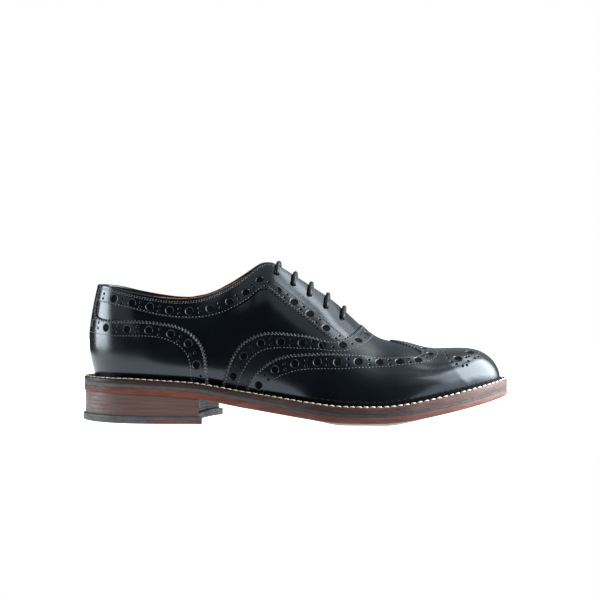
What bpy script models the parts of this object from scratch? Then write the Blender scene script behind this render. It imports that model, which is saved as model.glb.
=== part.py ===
"""Right oxford brogue: welted sole, stacked heel, hollow lasted upper with overlays, tongue and lace bars.

The scene is in metres. Tables and functions are in millimetres: +X runs to the toe, +Y to the medial
side and +Z up, with the floor at Z = 0.
"""

import math

import bmesh
import bpy
import numpy as np
from mathutils import Matrix, Vector

MM = 0.001
GAP = 0.3
WALL = 1.8
OVERLAY = 0.8
LAYER = GAP + OVERLAY

STATIONS = 44
SOLE_STATIONS = 38
HEEL_STATIONS = 18
OUTLINE_POINTS = 960
RIDGE_POINTS = 200
SEAM_POINTS = 12
WELD = 0.02
SLIVER = 0.005

# Tables are rounded by a weighted mean over this many places, its weight falling off past the soft length
SOFT_PLACES = 9
SOFT_REACH = 1.2

# Outline of the sole: distance from the long axis to each edge
OUTLINE_COLUMNS = ("x", "lateral", "medial")
OUTLINE_ROWS = (
    (-138.0, 22.5, 22.0),
    (-115.0, 34.5, 34.0),
    (-75.0, 36.0, 32.5),
    (-42.0, 36.8, 29.8),
    (-10.0, 42.5, 34.0),
    (20.0, 50.0, 44.0),
    (50.0, 53.0, 51.0),
    (85.0, 49.5, 50.5),
    (115.0, 39.5, 43.5),
    (135.0, 26.0, 32.0),
)
HEEL_BACK = (-150.5, 0.0)
TOE_TIP = (151.0, 3.5)

# Sole from the floor up: height of the tread, rise of its edge, then the layers
SOLE_COLUMNS = ("x", "tread", "crown", "outsole", "midsole", "welt")
SOLE_ROWS = (
    (-151.0, 20.5, 0.0, 4.5, 2.6, 3.9),
    (-112.0, 20.4, 0.0, 4.5, 2.6, 3.9),
    (-84.0, 18.9, 0.0, 4.5, 2.6, 3.9),
    (-66.0, 17.6, 0.0, 4.4, 2.7, 3.9),
    (-54.0, 15.5, 0.0, 4.7, 2.7, 3.9),
    (-35.0, 11.9, 0.0, 4.8, 2.7, 4.0),
    (-14.0, 8.4, 0.4, 4.8, 2.7, 4.2),
    (7.0, 4.6, 1.2, 4.7, 2.6, 4.4),
    (24.0, 1.6, 2.1, 4.6, 2.4, 4.7),
    (31.0, 0.0, 3.1, 4.6, 2.4, 4.7),
    (38.0, 0.0, 2.6, 4.6, 2.3, 4.8),
    (66.0, 0.0, 2.6, 4.6, 2.2, 4.9),
    (71.0, 0.0, 3.1, 4.6, 2.2, 5.0),
    (78.0, 1.6, 2.2, 4.6, 2.2, 5.1),
    (94.0, 4.9, 1.6, 4.5, 2.1, 5.4),
    (115.0, 9.6, 1.1, 4.4, 2.0, 5.9),
    (130.0, 13.2, 0.8, 4.3, 1.9, 6.2),
    (151.0, 18.2, 0.5, 4.1, 1.9, 6.4),
)
SOLE_SOFT = 8.0
TREAD_INSET = 14.0
MIDSOLE_INSET = 0.4

# Heel: stack over a rubber top lift with a leather insert at the front
TOP_LIFT = 5.2
TOP_LIFT_PROUD = 0.9
INSERT_HEIGHT = 2.6
INSERT_BACK_X = -98.6
STACK_INSET = 0.7
HEEL_SLAB_FRONT_X = -44.0
BREAST_LATERAL = (-62.0, -36.0)
BREAST_MEDIAL = (-55.8, 31.0)
BREAST_HOLLOW = 8.0
BREAST_SIDES = 128
BREAST_DEPTH = 80.0

# Feather line of the last, set in from the edge of the sole
FEATHER_COLUMNS = ("x", "inset")
FEATHER_ROWS = (
    (-151.0, 8.5),
    (-110.0, 8.0),
    (-40.0, 8.0),
    (50.0, 9.0),
    (110.0, 9.0),
    (135.0, 7.8),
    (151.0, 6.8),
)
FEATHER_SOFT = 12.0
LASTING_MARGIN = 6.0
WELT_INNER = 7.5
INSOLE_INSET = 3.0
INSOLE_THICK = 2.6

# Sections of the last along the foot
SECTION_COLUMNS = (
    "x", "ridge_y", "belly", "wide_lateral", "wide_medial", "side_full", "top_full", "lean"
)
SECTION_ROWS = (
    (-142.0, 0.0, 0.34, 1.12, 1.12, 0.40, 0.35, 84.0),
    (-110.0, 0.0, 0.34, 1.12, 1.13, 0.40, 0.35, 84.0),
    (-77.0, 0.0, 0.31, 1.15, 1.24, 0.42, 0.36, 83.0),
    (-56.0, 0.2, 0.28, 1.16, 1.36, 0.42, 0.38, 80.0),
    (-46.0, 0.4, 0.26, 1.16, 1.40, 0.42, 0.38, 68.0),
    (-37.0, 0.7, 0.24, 1.16, 1.40, 0.42, 0.39, 55.0),
    (-29.0, 1.0, 0.22, 1.15, 1.38, 0.42, 0.40, 45.0),
    (-18.0, 1.5, 0.20, 1.14, 1.32, 0.42, 0.40, 37.0),
    (10.0, 2.6, 0.19, 1.09, 1.15, 0.42, 0.43, 31.0),
    (36.0, 4.0, 0.22, 1.06, 1.07, 0.44, 0.50, 20.0),
    (50.0, 4.8, 0.25, 1.05, 1.05, 0.46, 0.55, 3.0),
    (75.0, 5.2, 0.29, 1.05, 1.05, 0.50, 0.60, 0.0),
    (110.0, 4.6, 0.33, 1.05, 1.05, 0.58, 0.62, 0.0),
    (144.0, 3.5, 0.34, 1.03, 1.03, 0.60, 0.62, 0.0),
)
SECTION_SOFT = 10.0

# Handles of the lower arc: out and up from the feather line, and down from the belly
FEATHER_OUT = 0.75
FEATHER_UP = 0.2
BELLY_DOWN = 0.5

# Top edge of the upper: collar, then lace facing, then the closed ridge
TOP_COLUMNS = ("x", "z", "half_open")
COLLAR_ROWS = (
    (-142.0, 96.2, 26.0),
    (-131.0, 95.0, 26.0),
    (-115.0, 91.3, 26.4),
    (-102.0, 88.8, 27.0),
    (-90.0, 86.8, 27.4),
    (-77.0, 85.9, 27.4),
    (-65.0, 86.8, 25.6),
    (-56.0, 89.3, 22.6),
    (-46.0, 94.0, 17.6),
    (-37.0, 99.3, 12.6),
    (-29.0, 105.0, 8.6),
    (-23.0, 110.2, 6.2),
    (-16.5, 111.9, 4.9),
    (-8.2, 107.2, 4.4),
    (4.3, 99.3, 3.8),
    (38.7, 74.0, 1.7),
    (44.0, 69.4, 0.0),
    (60.0, 57.4, 0.0),
)
TOP_SOFT = 4.0
RIDGE_ROWS = (
    (4.3, 99.3),
    (15.7, 92.1),
    (27.3, 84.0),
    (38.7, 74.0),
    (49.9, 64.0),
    (58.4, 57.8),
    (66.9, 54.9),
    (75.4, 53.9),
    (83.9, 51.9),
    (96.6, 48.9),
    (109.0, 48.9),
    (122.0, 48.9),
    (130.5, 47.3),
    (138.0, 42.5),
    (142.0, 36.8),
)
RIDGE_FROM_X = 15.0
COLLAR_ROUND_X = -108.0
CREST_SHARE = 0.2

# Back seam: set-back of the heel curve by height over the feather line
BACK_COLUMNS = ("rise", "forward")
BACK_ROWS = (
    (0.0, 0.0),
    (6.0, -1.2),
    (10.0, -2.5),
    (18.0, -3.9),
    (31.0, -3.9),
    (41.0, -2.5),
    (52.0, -1.0),
    (59.0, 0.4),
    (65.0, 1.8),
)
BACK_SOFT = 6.0
BACK_REACH = 75.0

# Shares of each section's lower and upper arc at which the shell has a row of points
LOWER_SHARES = (0.0, 0.4, 1.0)
UPPER_SHARES = (0.22, 0.42, 0.61, 0.8, 1.0)
CREST_SHARES = np.linspace(0.0, 1.0, 60)

# Edges of the overlays in the side view, from the welt up, each row x and z
COUNTER_EDGE = (
    (-57.8, 30.0),
    (-58.3, 40.0),
    (-61.1, 53.9),
    (-66.4, 60.7),
    (-73.0, 65.8),
    (-80.0, 68.8),
    (-90.0, 71.2),
    (-100.0, 72.1),
    (-126.6, 72.2),
    (-134.0, 73.2),
    (-138.2, 76.4),
    (-139.5, 81.0),
    (-139.3, 86.0),
    (-137.6, 92.3),
    (-136.6, 98.0),
)
COLLAR_EDGE = (
    (-138.9, 84.8),
    (-127.6, 83.0),
    (-110.5, 79.3),
    (-94.9, 75.2),
    (-76.0, 73.3),
    (-66.7, 73.4),
    (-55.5, 74.8),
    (-43.9, 78.8),
    (-34.3, 84.1),
    (-24.7, 91.9),
    (-19.2, 96.2),
)
FACING_EDGE = (
    (-18.4, 93.6),
    (-11.3, 89.0),
    (3.6, 78.0),
    (11.2, 73.2),
    (18.2, 66.6),
    (23.4, 62.3),
)
VAMP_EDGE = (
    (-48.4, 27.6),
    (-48.0, 30.4),
    (-45.1, 40.2),
    (-40.4, 50.6),
    (-35.4, 56.8),
    (-29.9, 60.6),
    (-23.6, 62.7),
    (-8.7, 64.6),
    (7.0, 62.9),
    (20.2, 59.5),
    (28.0, 58.2),
    (36.0, 60.6),
    (41.5, 63.6),
    (44.5, 67.4),
    (46.5, 76.0),
)
THROAT_ROWS = 5
WING_EDGE = (
    (-32.2, 26.0),
    (-29.8, 30.7),
    (-24.8, 37.7),
    (-14.4, 44.7),
    (-7.5, 48.2),
    (0.0, 49.5),
    (17.9, 50.6),
    (36.3, 50.4),
    (59.8, 47.9),
    (73.3, 47.1),
    (83.7, 47.6),
    (88.6, 49.2),
    (81.7, 52.4),
    (70.5, 57.0),
    (66.0, 60.0),
)
SEAM_LIFT = 0.4
SIDE_REACH = 70.0
SPLIT_Y = 2.4
SPLIT_SLOPE = 0.046
OVER_TOP = 125.0
PAST_TOE = 160.0
VAMP_FRONT_X = 95.0
PAST_HEEL = -160.0
COLLAR_FRONT_X = -20.4
FACING_BACK_X = -20.0

# Lace: eyelets by place along the shoe and distance from the ridge line
EYELET_FIRST_X = -11.9
EYELET_LAST_X = 34.5
EYELET_FIRST_OFF = 10.6
EYELET_LAST_OFF = 15.0
EYELET_RADIUS = 1.95
EYELET_SIDES = 9
CUTTER_DEPTH = 12.0
LACE_BARS = 5
LACE_RADIUS = 1.25
LACE_ROUNDNESS = 1
LACE_LIFT = LAYER + GAP + LACE_RADIUS

# Rise of a lace bar out of its eyelet, each row the distance from the hole and the height over the last
LACE_RISE = ((0.0, -0.8), (0.0, 1.1), (0.35, 2.05), (1.1, 2.65))
LACE_ACROSS = (3.4,)

# Tongue
TONGUE_BACK_X = -21.0
TONGUE_FRONT_X = 47.0
TONGUE_HALF_BACK = 25.0
TONGUE_HALF_FRONT = 16.0
TONGUE_THICK = 1.4
TONGUE_ROWS = 10
TONGUE_POINTS = 9
TONGUE_DROP = 1.5


def read(columns, rows, name, x, soft):
    """One named column of a table at x, its corners rounded over the distance soft."""
    places = [row[0] for row in rows]
    values = [row[columns.index(name)] for row in rows]
    reach = np.linspace(-soft, soft, SOFT_PLACES)
    weight = SOFT_REACH * soft - np.abs(reach)
    around = np.interp(np.add.outer(np.asarray(x, float), reach), places, values)
    return around @ weight / weight.sum()


def sole_size(name, x):
    return read(SOLE_COLUMNS, SOLE_ROWS, name, x, SOLE_SOFT)


def section_size(name, x):
    return read(SECTION_COLUMNS, SECTION_ROWS, name, x, SECTION_SOFT)


def spline(points, count, closed=False):
    """A cubic spline through the points, as count points along it."""
    knots = np.array(points, float)
    if closed:
        knots = np.vstack([knots, knots[:1]])
    step = np.linalg.norm(np.diff(knots, axis=0), axis=1)
    slope = np.diff(knots, axis=0) / step[:, None]
    last = len(knots) - 1
    system = np.zeros((last + 1, last + 1))
    right = np.zeros_like(knots)
    for i in range(1, last):
        system[i, i - 1 : i + 2] = step[i], 2 * (step[i - 1] + step[i]), step[i - 1]
        right[i] = 3 * (step[i] * slope[i - 1] + step[i - 1] * slope[i])
    if closed:
        system[0, 0], system[0, last] = 1, -1
        system[last, [last - 1, last, 1]] = step[0], 2 * (step[-1] + step[0]), step[-1]
        right[last] = 3 * (step[0] * slope[-1] + step[-1] * slope[0])
    else:
        system[0, :2] = 2, 1
        system[last, -2:] = 1, 2
        right[0], right[last] = 3 * slope[0], 3 * slope[-1]
    tangent = np.linalg.solve(system, right)
    place = np.concatenate([[0], np.cumsum(step)])
    at = np.linspace(0, place[-1], count + 1 if closed else count)
    at = at[:-1] if closed else at
    i = np.clip(np.searchsorted(place, at, "right") - 1, 0, last - 1)
    u = ((at - place[i]) / step[i])[:, None]
    h = step[i][:, None]
    return (
        (1 + 2 * u) * (1 - u) ** 2 * knots[i]
        + u * (1 - u) ** 2 * h * tangent[i]
        + u**2 * (3 - 2 * u) * knots[i + 1]
        + u**2 * (u - 1) * h * tangent[i + 1]
    )


def inset(loop, depth):
    """The closed outline moved in by depth, one number or one per point."""
    ahead = np.roll(loop, -1, axis=0) - np.roll(loop, 1, axis=0)
    outward = np.column_stack([ahead[:, 1], -ahead[:, 0]])
    outward /= np.linalg.norm(outward, axis=1)[:, None]
    return loop - outward * np.broadcast_to(depth, len(loop))[:, None]


def sides(loop):
    """The lateral and medial halves of a closed outline, each from heel to toe."""
    loop = np.roll(loop, -np.argmin(loop[:, 0]), axis=0)
    tip = np.argmax(loop[:, 0])
    return loop[: tip + 1], np.vstack([loop[tip:], loop[:1]])[::-1]


def end_dense(count):
    """Shares from 0 to 1, close together at both ends."""
    return (1 - np.cos(np.linspace(0, math.pi, count))) / 2


def sole_outline():
    lateral = [(row[0], -row[1]) for row in OUTLINE_ROWS]
    medial = [(row[0], row[2]) for row in OUTLINE_ROWS]
    points = [HEEL_BACK, *lateral, TOE_TIP, *medial[::-1]]
    return spline(points, OUTLINE_POINTS, closed=True)


SOLE_EDGE = sole_outline()
FEATHER = inset(SOLE_EDGE, read(FEATHER_COLUMNS, FEATHER_ROWS, "inset", SOLE_EDGE[:, 0], FEATHER_SOFT))
FEATHER_LATERAL, FEATHER_MEDIAL = sides(FEATHER)
MARGIN_LATERAL, MARGIN_MEDIAL = sides(np.hstack([FEATHER, inset(FEATHER, LASTING_MARGIN)]))
LAST_BACK_X = FEATHER[:, 0].min()
LAST_TIP_X = FEATHER[:, 0].max()


def edge_z(x):
    """Height of the sole's lower edge."""
    return sole_size("tread", x) + sole_size("crown", x)


def outsole_top(x):
    return edge_z(x) + sole_size("outsole", x)


def midsole_top(x):
    return outsole_top(x) + sole_size("midsole", x)


def feather_z(x):
    return midsole_top(x) + sole_size("welt", x)


def ridge_curve():
    end = (LAST_TIP_X, float(feather_z(LAST_TIP_X)))
    return spline([*RIDGE_ROWS, end], RIDGE_POINTS)


RIDGE = ridge_curve()


def top_z(x):
    """Height of the upper's top edge or ridge."""
    collar = read(TOP_COLUMNS, COLLAR_ROWS, "z", x, TOP_SOFT)
    ridge = np.interp(x, RIDGE[:, 0], RIDGE[:, 1])
    share = np.clip((x - RIDGE_FROM_X) / TOP_SOFT, 0, 1)
    return collar * (1 - share) + ridge * share


def half_open(x):
    """Half the width of the collar or lace opening."""
    width = read(TOP_COLUMNS, COLLAR_ROWS, "half_open", x, TOP_SOFT)
    behind = np.clip((COLLAR_ROUND_X - x) / (COLLAR_ROUND_X - LAST_BACK_X), 0, 1)
    return width * np.sqrt(1 - behind**2)


def bezier(points, share):
    a, b, c, d = (np.asarray(point, float) for point in points)
    t = np.asarray(share, float)[:, None]
    return a * (1 - t) ** 3 + 3 * b * t * (1 - t) ** 2 + 3 * c * t**2 * (1 - t) + d * t**3


def feather_y(x, medial):
    half = FEATHER_MEDIAL if medial else FEATHER_LATERAL
    return float(np.interp(x, half[:, 0], half[:, 1]))


def ridge_line(x):
    """Where the ridge of the last lies across the shoe."""
    return float(np.clip(section_size("ridge_y", x), feather_y(x, False), feather_y(x, True)))


def half_section(x, medial, lower=LOWER_SHARES, upper=UPPER_SHARES):
    """Points of one side of the last at x, from the feather line to the top edge."""
    ridge_y = ridge_line(x)
    bottom_y = feather_y(x, medial)
    wide = float(section_size("wide_medial" if medial else "wide_lateral", x))
    bottom_z = float(feather_z(x))
    height = float(top_z(x)) - bottom_z
    belly_y = ridge_y + (bottom_y - ridge_y) * wide
    belly_z = bottom_z + height * float(section_size("belly", x))
    out = 1.0 if medial else -1.0
    top_y = ridge_y + out * float(half_open(x))
    rise = bottom_z + height - belly_z
    lean = math.radians(float(section_size("lean", x)))
    span = abs(belly_y - top_y) * math.cos(lean) + rise * math.sin(lean)
    handle = span * float(section_size("top_full", x))
    inward = min(handle, abs(belly_y - ridge_y)) * math.cos(lean)
    low = bezier(
        (
            (bottom_y, bottom_z),
            (bottom_y + FEATHER_OUT * (belly_y - bottom_y), bottom_z + FEATHER_UP * (belly_z - bottom_z)),
            (belly_y, belly_z - BELLY_DOWN * (belly_z - bottom_z)),
            (belly_y, belly_z),
        ),
        lower,
    )
    high = bezier(
        (
            (belly_y, belly_z),
            (belly_y, belly_z + rise * float(section_size("side_full", x))),
            (top_y + out * inward, bottom_z + height - handle * math.sin(lean)),
            (top_y, bottom_z + height),
        ),
        upper,
    )
    yz = np.vstack([low, high])
    over = np.clip(1 - (x - LAST_BACK_X) / BACK_REACH, 0, 1) ** 2
    forward = over * read(BACK_COLUMNS, BACK_ROWS, "forward", yz[:, 1] - bottom_z, BACK_SOFT)
    return np.column_stack([x + forward, yz])


def margin_point(x, medial):
    """Inner edge of the lasting margin beside the feather line at x."""
    half = MARGIN_MEDIAL if medial else MARGIN_LATERAL
    place = float(np.interp(x, half[:, 0], half[:, 2]))
    return [place, float(np.interp(x, half[:, 0], half[:, 3])), float(feather_z(place))]


def crest_point(x, off_ridge):
    """Point on the last at x and this far from its ridge line, with the lace opening bridged."""
    medial = off_ridge > 0
    half = half_section(x, medial, (), CREST_SHARES)
    ridge_y = ridge_line(x)
    away = np.abs(half[:, 1] - ridge_y)
    open_half = float(half_open(x))
    if abs(off_ridge) >= open_half:
        z = np.interp(-abs(off_ridge), -away, half[:, 2])
    else:
        slope = CREST_SHARE * math.tan(math.radians(float(section_size("lean", x))))
        z = half[-1, 2] + slope * (open_half**2 - off_ridge**2) / (2 * open_half)
    return np.array([x, ridge_y + off_ridge, float(z)])


def crest_normal(x, off_ridge):
    step = 1.0
    along = crest_point(x + step, off_ridge) - crest_point(x - step, off_ridge)
    across = crest_point(x, off_ridge + step) - crest_point(x, off_ridge - step)
    normal = np.cross(along, across)
    return normal / np.linalg.norm(normal)


# Scene
def clear_scene():
    for obj in list(bpy.data.objects):
        bpy.data.objects.remove(obj)


def new_collection(name, hidden=False):
    collection = bpy.data.collections.new(name)
    collection.hide_render = hidden
    bpy.context.scene.collection.children.link(collection)
    return collection


def look(name, colour, roughness):
    material = bpy.data.materials.new(name)
    material.use_nodes = True
    shader = material.node_tree.nodes["Principled BSDF"]
    shader.inputs["Base Color"].default_value = (*colour, 1.0)
    shader.inputs["Roughness"].default_value = roughness
    shader.inputs["Metallic"].default_value = 0.0
    return material


def mesh_object(name, bm, collection, material=None, closed=True):
    bmesh.ops.remove_doubles(bm, verts=bm.verts, dist=WELD * MM)
    bmesh.ops.dissolve_degenerate(bm, edges=bm.edges, dist=SLIVER * MM)
    bmesh.ops.recalc_face_normals(bm, faces=bm.faces)
    mesh = bpy.data.meshes.new(name)
    bm.to_mesh(mesh)
    bm.free()
    obj = bpy.data.objects.new(name, mesh)
    collection.objects.link(obj)
    if material:
        mesh.materials.append(material)
    if not closed:
        face_outward(mesh)
    return obj


def face_outward(mesh):
    """An open shell's normals point away from its middle."""
    middle = np.mean([v.co for v in mesh.vertices], axis=0)
    out = sum(p.area * np.dot(p.normal, np.array(p.center) - middle) for p in mesh.polygons)
    if out < 0:
        mesh.flip_normals()


def as_cutter(obj):
    obj.hide_render = True
    obj.display_type = "WIRE"
    return obj


def boolean(obj, cutter, operation):
    modifier = obj.modifiers.new(f"{operation.lower()}_{cutter.name}", "BOOLEAN")
    modifier.operation = operation
    modifier.solver = "EXACT"
    modifier.object = cutter


def ring(loop, heights, start=None, end=None, stations=SOLE_STATIONS):
    """The outline as pairs of points from heel to toe: lateral row and medial row, in metres."""
    lateral, medial = sides(loop)
    low = loop[:, 0].min() if start is None else start
    high = loop[:, 0].max() if end is None else end
    x = low + (high - low) * end_dense(stations)
    z = heights(x)
    rows = []
    for half in (lateral, medial):
        rows.append(np.column_stack([x, np.interp(x, half[:, 0], half[:, 1]), z]) * MM)
    return rows


def add_ring(bm, rows):
    return [[bm.verts.new(point) for point in row] for row in rows]


def wall_faces(bm, upper, lower):
    over = upper[0] + upper[1][::-1]
    under = lower[0] + lower[1][::-1]
    for i in range(len(over)):
        j = (i + 1) % len(over)
        bm.faces.new((over[i], over[j], under[j], under[i]))


def cap_faces(bm, rows):
    lateral, medial = rows
    for i in range(len(lateral) - 1):
        bm.faces.new((lateral[i], lateral[i + 1], medial[i + 1], medial[i]))


def slab(name, rings, collection, material, hollow=False):
    """A solid through rings from top to bottom, with the last joined to the first if hollow."""
    bm = bmesh.new()
    levels = [add_ring(bm, rows) for rows in rings]
    for upper, lower in zip(levels, levels[1:]):
        wall_faces(bm, upper, lower)
    if hollow:
        wall_faces(bm, levels[-1], levels[0])
    else:
        cap_faces(bm, levels[0])
        cap_faces(bm, levels[-1])
    return mesh_object(name, bm, collection, material)


def heel_ring(loop, heights, start=None):
    return ring(loop, heights, start, HEEL_SLAB_FRONT_X, HEEL_STATIONS)


def level(height):
    return lambda x: np.full_like(x, height)


def shell_surface(name, collection, margin, material=None):
    """The last as an open surface over both sides, with its lasting margin or without."""
    bm = bmesh.new()
    grid = []
    for x in LAST_BACK_X + (LAST_TIP_X - LAST_BACK_X) * end_dense(STATIONS):
        row = []
        for medial in (False, True):
            half = half_section(x, medial)
            if margin:
                half = np.vstack([margin_point(x, medial), half])
            row.append([bm.verts.new(point) for point in half * MM])
        grid.append(row)
    for here, ahead in zip(grid, grid[1:]):
        for half_here, half_ahead in zip(here, ahead):
            for j in range(len(half_here) - 1):
                bm.faces.new((half_here[j], half_here[j + 1], half_ahead[j + 1], half_ahead[j]))
    return mesh_object(name, bm, collection, material, closed=False)


def solidify(obj, thickness, offset):
    modifier = obj.modifiers.new("wall", "SOLIDIFY")
    modifier.thickness = thickness * MM
    modifier.offset = offset
    modifier.use_even_offset = True


def displace(obj, distance):
    modifier = obj.modifiers.new("seat", "DISPLACE")
    modifier.direction = "NORMAL"
    modifier.mid_level = 0.0
    modifier.strength = distance * MM


def far_lateral(x):
    return -SIDE_REACH


def far_medial(x):
    return SIDE_REACH


def split_lateral(x):
    return SPLIT_Y + SPLIT_SLOPE * x - GAP / 2


def split_medial(x):
    return SPLIT_Y + SPLIT_SLOPE * x + GAP / 2


def prism(name, outline, cutters, low=far_lateral, high=far_medial):
    """A cutter: an outline in the side view carried across the shoe between two upright planes."""
    bm = bmesh.new()
    rows = [[bm.verts.new((x * MM, y(x) * MM, z * MM)) for x, z in outline] for y in (low, high)]
    bm.faces.new(rows[0])
    bm.faces.new(rows[1])
    for i in range(len(outline)):
        j = (i + 1) % len(outline)
        bm.faces.new((rows[0][i], rows[0][j], rows[1][j], rows[1][i]))
    return as_cutter(mesh_object(name, bm, cutters))


def breast_cutter(cutters):
    """A tall cylinder that hollows the front of the heel between its two corners."""
    lateral, medial = np.array(BREAST_LATERAL), np.array(BREAST_MEDIAL)
    chord = medial - lateral
    half = np.linalg.norm(chord) / 2
    forward = np.array([chord[1], -chord[0]]) / (2 * half)
    radius = (half**2 + BREAST_HOLLOW**2) / (2 * BREAST_HOLLOW)
    centre = (lateral + medial) / 2 + forward * (radius - BREAST_HOLLOW)
    bpy.ops.mesh.primitive_cylinder_add(
        vertices=BREAST_SIDES,
        radius=radius * MM,
        depth=BREAST_DEPTH * MM,
        location=(*(centre * MM), 0),
    )
    cutter = bpy.context.object
    cutter.name = "breast_cutter"
    move_to(cutter, cutters)
    return as_cutter(cutter)


def move_to(obj, collection):
    for old in list(obj.users_collection):
        old.objects.unlink(obj)
    collection.objects.link(obj)


def build_sole(parts, looks):
    slab(
        "outsole",
        (
            ring(SOLE_EDGE, lambda x: outsole_top(x) - GAP),
            ring(SOLE_EDGE, edge_z),
            ring(inset(SOLE_EDGE, TREAD_INSET), lambda x: sole_size("tread", x)),
        ),
        parts,
        looks["outsole"],
    )
    middle = inset(SOLE_EDGE, MIDSOLE_INSET)
    slab(
        "midsole",
        (ring(middle, lambda x: midsole_top(x) - GAP), ring(middle, outsole_top)),
        parts,
        looks["midsole"],
    )
    inner = inset(FEATHER, WELT_INNER)
    slab(
        "welt",
        (
            ring(SOLE_EDGE, lambda x: feather_z(x) - GAP),
            ring(SOLE_EDGE, midsole_top),
            ring(inner, midsole_top),
            ring(inner, lambda x: feather_z(x) - GAP),
        ),
        parts,
        looks["welt"],
        hollow=True,
    )
    board = inset(FEATHER, INSOLE_INSET)
    plug = inset(FEATHER, WELT_INNER + GAP)
    slab(
        "insole",
        (
            ring(board, lambda x: feather_z(x) + WALL + GAP + INSOLE_THICK),
            ring(board, lambda x: feather_z(x) + WALL + GAP),
            ring(plug, lambda x: feather_z(x) + WALL + GAP),
            ring(plug, midsole_top),
        ),
        parts,
        looks["lining"],
    )


def build_heel(parts, cutters, looks):
    breast = breast_cutter(cutters)
    stack_edge = inset(SOLE_EDGE, STACK_INSET)
    stack = slab(
        "heel_stack",
        (
            heel_ring(stack_edge, lambda x: edge_z(x) - GAP),
            heel_ring(stack_edge, level(TOP_LIFT + GAP)),
        ),
        parts,
        looks["stack"],
    )
    lift_edge = inset(SOLE_EDGE, -TOP_LIFT_PROUD)
    lift = slab(
        "top_lift",
        (
            heel_ring(lift_edge, level(TOP_LIFT)),
            heel_ring(lift_edge, level(0.0)),
        ),
        parts,
        looks["rubber"],
    )
    insert = slab(
        "top_lift_insert",
        (
            heel_ring(lift_edge, level(INSERT_HEIGHT), INSERT_BACK_X + GAP),
            heel_ring(lift_edge, level(0.0), INSERT_BACK_X + GAP),
        ),
        parts,
        looks["outsole"],
    )
    notch = prism(
        "insert_notch",
        (
            (INSERT_BACK_X, -CUTTER_DEPTH),
            (0.0, -CUTTER_DEPTH),
            (0.0, INSERT_HEIGHT + GAP),
            (INSERT_BACK_X, INSERT_HEIGHT + GAP),
        ),
        cutters,
    )
    boolean(lift, notch, "DIFFERENCE")
    for piece in (stack, lift, insert):
        boolean(piece, breast, "DIFFERENCE")


def seam_line(start, end):
    """The line just over the welt, from start to end along the shoe."""
    x = np.linspace(start, end, SEAM_POINTS)
    return [(float(place), float(feather_z(place)) + SEAM_LIFT) for place in x]


def eyelets():
    x = np.linspace(EYELET_FIRST_X, EYELET_LAST_X, LACE_BARS)
    off = np.linspace(EYELET_FIRST_OFF, EYELET_LAST_OFF, LACE_BARS)
    return list(zip(x, off))


def eyelet_cutter(cutters):
    bm = bmesh.new()
    for x, off in eyelets():
        for out in (-1, 1):
            normal = Vector(crest_normal(x, out * off))
            place = Matrix.Translation(Vector(crest_point(x, out * off)) * MM)
            turn = normal.to_track_quat("Z", "Y").to_matrix().to_4x4()
            bmesh.ops.create_cone(
                bm,
                cap_ends=True,
                segments=EYELET_SIDES,
                radius1=EYELET_RADIUS * MM,
                radius2=EYELET_RADIUS * MM,
                depth=CUTTER_DEPTH * MM,
                matrix=place @ turn,
            )
    return as_cutter(mesh_object("eyelet_cutter", bm, cutters))


def overlay(name, seat, outline, parts, cutters, looks, low=far_lateral, high=far_medial):
    """A piece of leather on the last, this far off it, inside an outline of the side view."""
    piece = shell_surface(name, parts, False, looks["leather"])
    displace(piece, seat)
    solidify(piece, OVERLAY, 1.0)
    boolean(piece, prism(f"{name}_outline", outline, cutters, low, high), "INTERSECT")
    return piece


def build_overlays(parts, cutters, looks, holes):
    vamp_over = [(VAMP_EDGE[-1][0], OVER_TOP), (VAMP_FRONT_X, OVER_TOP)]
    overlay(
        "vamp",
        GAP,
        [*VAMP_EDGE, *vamp_over, *seam_line(VAMP_FRONT_X, VAMP_EDGE[0][0])],
        parts,
        cutters,
        looks,
    )
    wing_over = [(WING_EDGE[-1][0], OVER_TOP), (PAST_TOE, OVER_TOP)]
    overlay(
        "wing_cap",
        LAYER + GAP,
        [*WING_EDGE, *wing_over, *seam_line(PAST_TOE, WING_EDGE[0][0])],
        parts,
        cutters,
        looks,
    )
    strap_top = (COUNTER_EDGE[-1][0], OVER_TOP)
    overlay(
        "counter",
        GAP,
        [*COUNTER_EDGE, strap_top, (PAST_HEEL, OVER_TOP), *seam_line(PAST_HEEL, COUNTER_EDGE[0][0])],
        parts,
        cutters,
        looks,
    )
    strap = [(x + GAP, z) for x, z in COUNTER_EDGE if z > COLLAR_EDGE[0][1]]
    throat = [(x, z + GAP) for x, z in VAMP_EDGE[-THROAT_ROWS:]]
    halves = (("lateral", far_lateral, split_lateral), ("medial", split_medial, far_medial))
    for side, low, high in halves:
        overlay(
            f"collar_band_{side}",
            GAP,
            [*COLLAR_EDGE, (COLLAR_FRONT_X, OVER_TOP), (strap[-1][0], OVER_TOP), *strap[::-1]],
            parts,
            cutters,
            looks,
            low,
            high,
        )
        facing = overlay(
            f"facing_{side}",
            GAP,
            [*FACING_EDGE, *throat, (throat[-1][0], OVER_TOP), (FACING_BACK_X, OVER_TOP)],
            parts,
            cutters,
            looks,
            low,
            high,
        )
        boolean(facing, holes, "DIFFERENCE")


def build_tongue(parts, looks):
    bm = bmesh.new()
    stations = np.linspace(TONGUE_BACK_X, TONGUE_FRONT_X, TONGUE_ROWS)
    halves = np.linspace(TONGUE_HALF_BACK, TONGUE_HALF_FRONT, TONGUE_ROWS)
    grid = []
    for x, half in zip(stations, halves):
        across = half * np.linspace(-1, 1, TONGUE_POINTS)
        grid.append([bm.verts.new(crest_point(x, off) * MM) for off in across])
    for here, ahead in zip(grid, grid[1:]):
        for j in range(len(here) - 1):
            bm.faces.new((here[j], here[j + 1], ahead[j + 1], ahead[j]))
    tongue = mesh_object("tongue", bm, parts, looks["leather"], closed=False)
    displace(tongue, -(WALL + TONGUE_DROP))
    solidify(tongue, TONGUE_THICK, -1.0)


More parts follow.
